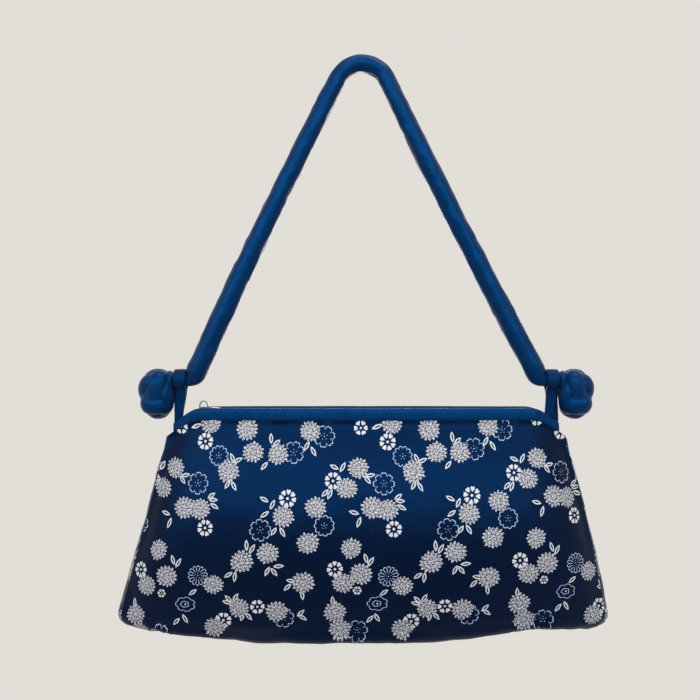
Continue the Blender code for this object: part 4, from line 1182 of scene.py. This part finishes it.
def knot_ball(name, side, seed):
    """A button knot: one flattened tube that goes three times round, over and under itself."""
    wraps, bights = 3, 4
    crossing_rise = 0.0010
    spare_room = 0.0007
    latitude_reach = math.radians(52)
    half_wide = 0.0058
    half_thick = 0.0027
    fullness = 2.7
    t = around(300)
    latitude = latitude_reach * np.sin(bights * t)
    ball = np.stack([np.cos(latitude) * np.cos(wraps * t), np.cos(latitude) * np.sin(wraps * t),
                     np.sin(latitude)], -1)
    rise = crossing_rise * np.sin(2 * bights * t)
    axis = Vector((-math.cos(KNOT_TILT), 0, math.sin(KNOT_TILT)))
    ball = ball @ np.array(Vector((0, 0, 1)).rotation_difference(axis).to_matrix()).T
    reach = np.array([KNOT_RADIUS, KNOT_RADIUS, KNOT_HALF_HEIGHT]) - half_thick - spare_room
    ball /= (abs(ball) ** fullness).sum(-1, keepdims=True) ** (1 / fullness)
    centres = ball * (reach + rise[:, None])
    outward = unit(np.sign(ball) * abs(ball) ** (fullness - 1) / reach)
    along = unit(np.roll(centres, -1, axis=0) - np.roll(centres, 1, axis=0))
    aside = unit(np.cross(outward, along))
    outward = unit(np.cross(along, aside))
    turns = around(24)
    s, g = np.meshgrid(lengths_along(centres), turns * 0.004, indexing="ij")
    folds = 1 + 0.05 * crumple(s, g, 0.006, seed) + 0.05 * crumple(s * 0.3, g, 0.0022, seed + 1)
    wide = half_wide * (1 + 0.05 * np.sin(bights * t + seed))[:, None] * folds
    bow = -0.0012 * np.cos(turns)[None, :] ** 2
    rings = (centres[:, None] + (wide * np.cos(turns))[..., None] * aside[:, None]
             + (half_thick * folds * np.sin(turns) + bow)[..., None] * outward[:, None])

    def placed(rings):
        return (rings + KNOT_CENTRE - [KNOT_SNUG, 0, 0]) * [side, 1, 1] + [HANG_OFFSET, 0, 0]

    core = ball_points(KNOT_RADIUS - CORE_INSET[0], KNOT_HALF_HEIGHT - CORE_INSET[1])
    ball = ring_tube(name, placed(rings), [BLUE_SATIN], closed=True)
    core = ring_tube(name + "_core", placed(core), [BLUE_SATIN])
    dress(ball, "handle", name.replace("_ball", ""))
    dress(core, "handle")


def ball_points(radius, half_height):
    """Rings of a slim ball, the stuffing of a knot."""
    turns = around(24)
    return np.array([np.stack([radius * math.sqrt(1 - z * z) * np.cos(turns),
                               radius * math.sqrt(1 - z * z) * np.sin(turns),
                               np.full(24, half_height * z)], -1)
                     for z in np.linspace(-0.985, 0.985, 17)])


def loop_band(name, side, narrowing, leans, seed):
    """A folded satin band over the neck, its legs drawn together or splayed towards the bag."""
    wrap = NECK_RADIUS + NECK_CLEARANCE + LOOP_THICKNESS / 2
    leg_y = LOOP_LEG_GAP / 2 + LOOP_THICKNESS / 2
    reach = wrap + LOOP_FILLET
    fillet_y = leg_y + LOOP_FILLET
    fillet_z = math.sqrt(reach ** 2 - fillet_y ** 2)
    turn = math.atan2(-fillet_z, fillet_y)
    half = [np.array([wrap * math.cos(a), wrap * math.sin(a)])
            for a in np.linspace(math.pi / 2, turn, 22)]
    half += [np.array([fillet_y + LOOP_FILLET * math.cos(a),
                       -fillet_z + LOOP_FILLET * math.sin(a)])
             for a in np.linspace(math.pi + turn, math.pi, 9)[1:]]
    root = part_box("loop_left")[0][2] + NECK_DROP
    start = half[-1]
    half += [mix(start, np.array([leg_y, root]), i / 12) for i in range(1, 13)]
    half = np.array(half)
    path = np.concatenate([half[:0:-1] * [-1, 1], half])
    along = unit(np.gradient(path, axis=0))
    out = np.stack([-along[:, 1], along[:, 0]], -1)
    width = LOOP_OUTER_X - LOOP_INNER_X
    middle = (LOOP_OUTER_X + LOOP_INNER_X) / 2
    turns = around(20, 0.5)
    wide = width / 2 * squarish(np.cos(turns), 0.5)
    thick = (LOOP_THICKNESS / 2 - 0.0001) * squarish(np.sin(turns), 0.5)
    thick = thick * (1 - 0.22 * (wide / width * 2) ** 6)
    rings = []
    for point, outward, far in zip(path, out, lengths_along(path)):
        lift = thick + 0.00012 * crumple(far + 0 * wide, wide, 0.0025, seed) * np.sin(turns)
        drawn = ramp(-point[1], 0.005, 0.026)
        shifted = middle + wide * (1 - narrowing * drawn) + drawn * leans[int(point[0] > 0)]
        rings.append(np.stack([side * shifted + HANG_OFFSET, point[0] + lift * outward[0],
                               -NECK_DROP + point[1] + lift * outward[1]], -1))
    # The band wears the copy of the blue satin whose darker colour is painted shade
    made = ring_tube(name, rings, [PAINTED_SHADE_SATIN])
    dress(made, "bag", name.replace("_band", ""))


# Zip

def deselect():
    for each in bpy.context.selected_objects:
        each.select_set(False)


def zip_tape(name, side):
    """Half of the zip's tape, from under the coil out to the binding."""
    low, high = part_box(name.replace("_cloth", ""))
    half = (high[0] - low[0]) / 2
    skin = 0.0001
    rings = []
    for x in np.linspace(-half, half, 161):
        edge = top_half_depth(x) - binding_size(x / HALF_WIDTH_TOP)[1] - CLEARANCE
        wave = 0.00008 * wander(x, 0.006, 31)
        span = np.array([0.0005, 0.0012, 0.0026, edge])
        top = high[2] - skin + np.array([0, 0, wave, wave])
        rings.append(np.stack([np.full(8, x + HANG_OFFSET),
                               side * np.concatenate([span, span[::-1]]),
                               np.concatenate([top, np.full(4, low[2] + skin)])], -1))
    dress(ring_tube(name, rings, [TAPE_CLOTH]), "bag", name.replace("_cloth", ""))


def zip_teeth(name, side):
    """One half of the coil: an elongated ring of nylon, repeated along the zip."""
    low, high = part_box(name.replace("_teeth", ""))
    pitch = 0.00115
    count = int((high[0] - low[0]) / pitch)
    wire = 0.00028
    inner = 0.00045
    past_middle = 0.00025
    skin = 0.00005
    near, far = -side * past_middle, (high[1] if side > 0 else low[1])
    middle = (low[0] + wire + (pitch / 2 if side > 0 else 0), (near + far) / 2,
              (low[2] + high[2]) / 2)
    deselect()
    bpy.ops.mesh.primitive_torus_add(major_segments=10, minor_segments=5, major_radius=inner,
                                     minor_radius=wire, location=middle,
                                     rotation=(0, math.pi / 2, 0))
    made = bpy.context.object
    made.name = name
    made.data.name = name
    bpy.ops.object.transform_apply(location=True, rotation=True, scale=True)
    reach_y = (abs(far - near) / 2) / (inner + wire)
    reach_z = ((high[2] - low[2]) / 2 - skin) / (inner + wire)
    bpy.ops.object.mode_set(mode="EDIT")
    bpy.ops.mesh.select_all(action="SELECT")
    bpy.ops.transform.resize(value=(1, reach_y, reach_z), center_override=middle)
    bpy.ops.object.mode_set(mode="OBJECT")
    row = made.modifiers.new("row", "ARRAY")
    row.use_relative_offset = False
    row.use_constant_offset = True
    row.constant_offset_displace = (pitch, 0, 0)
    row.count = count
    bpy.ops.object.modifier_apply(modifier=row.name)
    made.data.materials.append(COIL_NYLON)
    bpy.ops.object.shade_smooth()
    dress(made, "bag", name.replace("_teeth", ""))


def dress_metal():
    for name in ("zip_top_stop_front", "zip_top_stop_back", "zip_bottom_stop", "zip_slider",
                 "zip_pull"):
        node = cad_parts[name]
        node.data.materials.clear()
        node.data.materials.append(ZIP_METAL)


# Light, floor and camera

FILL_COLOUR = (1.0, 0.99, 0.97)
FILL_STRENGTH = 0.33
BACKDROP_COLOUR = (0.76, 0.73, 0.69)
LAMPS = (("key", (-0.10, -1.00, 0.26), (0, 0, -0.25), (2.4, 0.55), 21.0),
         ("top", (0.15, -0.30, 0.9), (0, 0, -0.2), (0.9, 0.4), 6.0),
         ("rear", (0.2, 1.1, -0.1), (0, 0, -0.25), (1.2, 0.5), 7.0))
CAMERA_PLACE = (-0.0075, -0.470, -0.1717)
CAMERA_LENS = 39.04


def studio():
    world = bpy.context.scene.world or bpy.data.worlds.new("studio")
    bpy.context.scene.world = world
    world.use_nodes = True
    tree = world.node_tree
    tree.nodes.clear()
    path = tree.nodes.new("ShaderNodeLightPath")
    seen = math_node(tree, "MAXIMUM", path.outputs["Is Camera Ray"], math_node(
        tree, "MAXIMUM", path.outputs["Is Glossy Ray"], path.outputs["Is Transmission Ray"]))
    both = tree.nodes.new("ShaderNodeMixShader")
    end = tree.nodes.new("ShaderNodeOutputWorld")
    tree.links.new(seen, both.inputs[0])
    for place, colour, strength in ((1, FILL_COLOUR, FILL_STRENGTH), (2, BACKDROP_COLOUR, 1.0)):
        shade = tree.nodes.new("ShaderNodeBackground")
        shade.inputs["Color"].default_value = (*colour, 1)
        shade.inputs["Strength"].default_value = strength
        tree.links.new(shade.outputs[0], both.inputs[place])
    tree.links.new(both.outputs[0], end.inputs["Surface"])

    deselect()
    bpy.ops.mesh.primitive_circle_add(vertices=96, radius=0.9, fill_type="NGON",
                                      location=(0, 0, -1.2))
    floor = bpy.context.object
    floor.name = "floor"
    pale = Finish("pale floor", 0.9, None)
    pale.set(Base_Color=(0.74, 0.71, 0.67, 1), Specular_IOR_Level=0.1)
    floor.data.materials.append(pale.material)

    for name, place, aim, size, watts in LAMPS:
        lamp = bpy.data.lights.new(name, "AREA")
        lamp.shape = "RECTANGLE"
        lamp.size, lamp.size_y = size
        lamp.energy = watts
        lamp.color = (1.0, 0.98, 0.95)
        held = bpy.data.objects.new(name, lamp)
        held.location = place
        held.rotation_euler = (Vector(aim) - Vector(place)).to_track_quat("-Z", "Y").to_euler()
        bpy.context.collection.objects.link(held)

    lens = bpy.data.cameras.new("camera")
    lens.sensor_width = 36
    lens.lens = CAMERA_LENS
    lens.clip_start = 0.01
    camera = bpy.data.objects.new("camera", lens)
    camera.location = CAMERA_PLACE
    camera.rotation_euler = (math.radians(90), 0, 0)
    bpy.context.collection.objects.link(camera)
    bpy.context.scene.camera = camera
    bpy.context.scene.view_settings.view_transform = "Standard"


studio()
front_slack = simulated_slack("front slack", 21)
back_slack = simulated_slack("back slack", 22)
wall_sheet("front_panel_cloth", -1, 0.0, front_slack, 41)
wall_sheet("back_panel_cloth", 1, BACK_FIGURE_SHIFT, back_slack, 51)
base_sheet("bottom_panel_cloth", 61)
for end, side in (("left", -1), ("right", 1)):
    gusset_sheet("gusset_" + end + "_cloth", side, 65 + side)
    narrowing, leans = (0.36, (0.0013, 0.0013)) if side < 0 else (0.25, (-0.0019, 0.0017))
    loop_band("loop_" + end + "_band", side, narrowing, leans, 75 + side)
    knot_ball("knot_" + end + "_ball", side, 85 + side)
for face, side in (("front", -1), ("back", 1)):
    binding_roll("binding_" + face + "_roll", side, 91 + side)
    zip_tape("zip_tape_" + face + "_cloth", side)
    zip_teeth("zip_coil_" + face + "_teeth", side)
lining_sack()
padded_handle()
dress_metal()
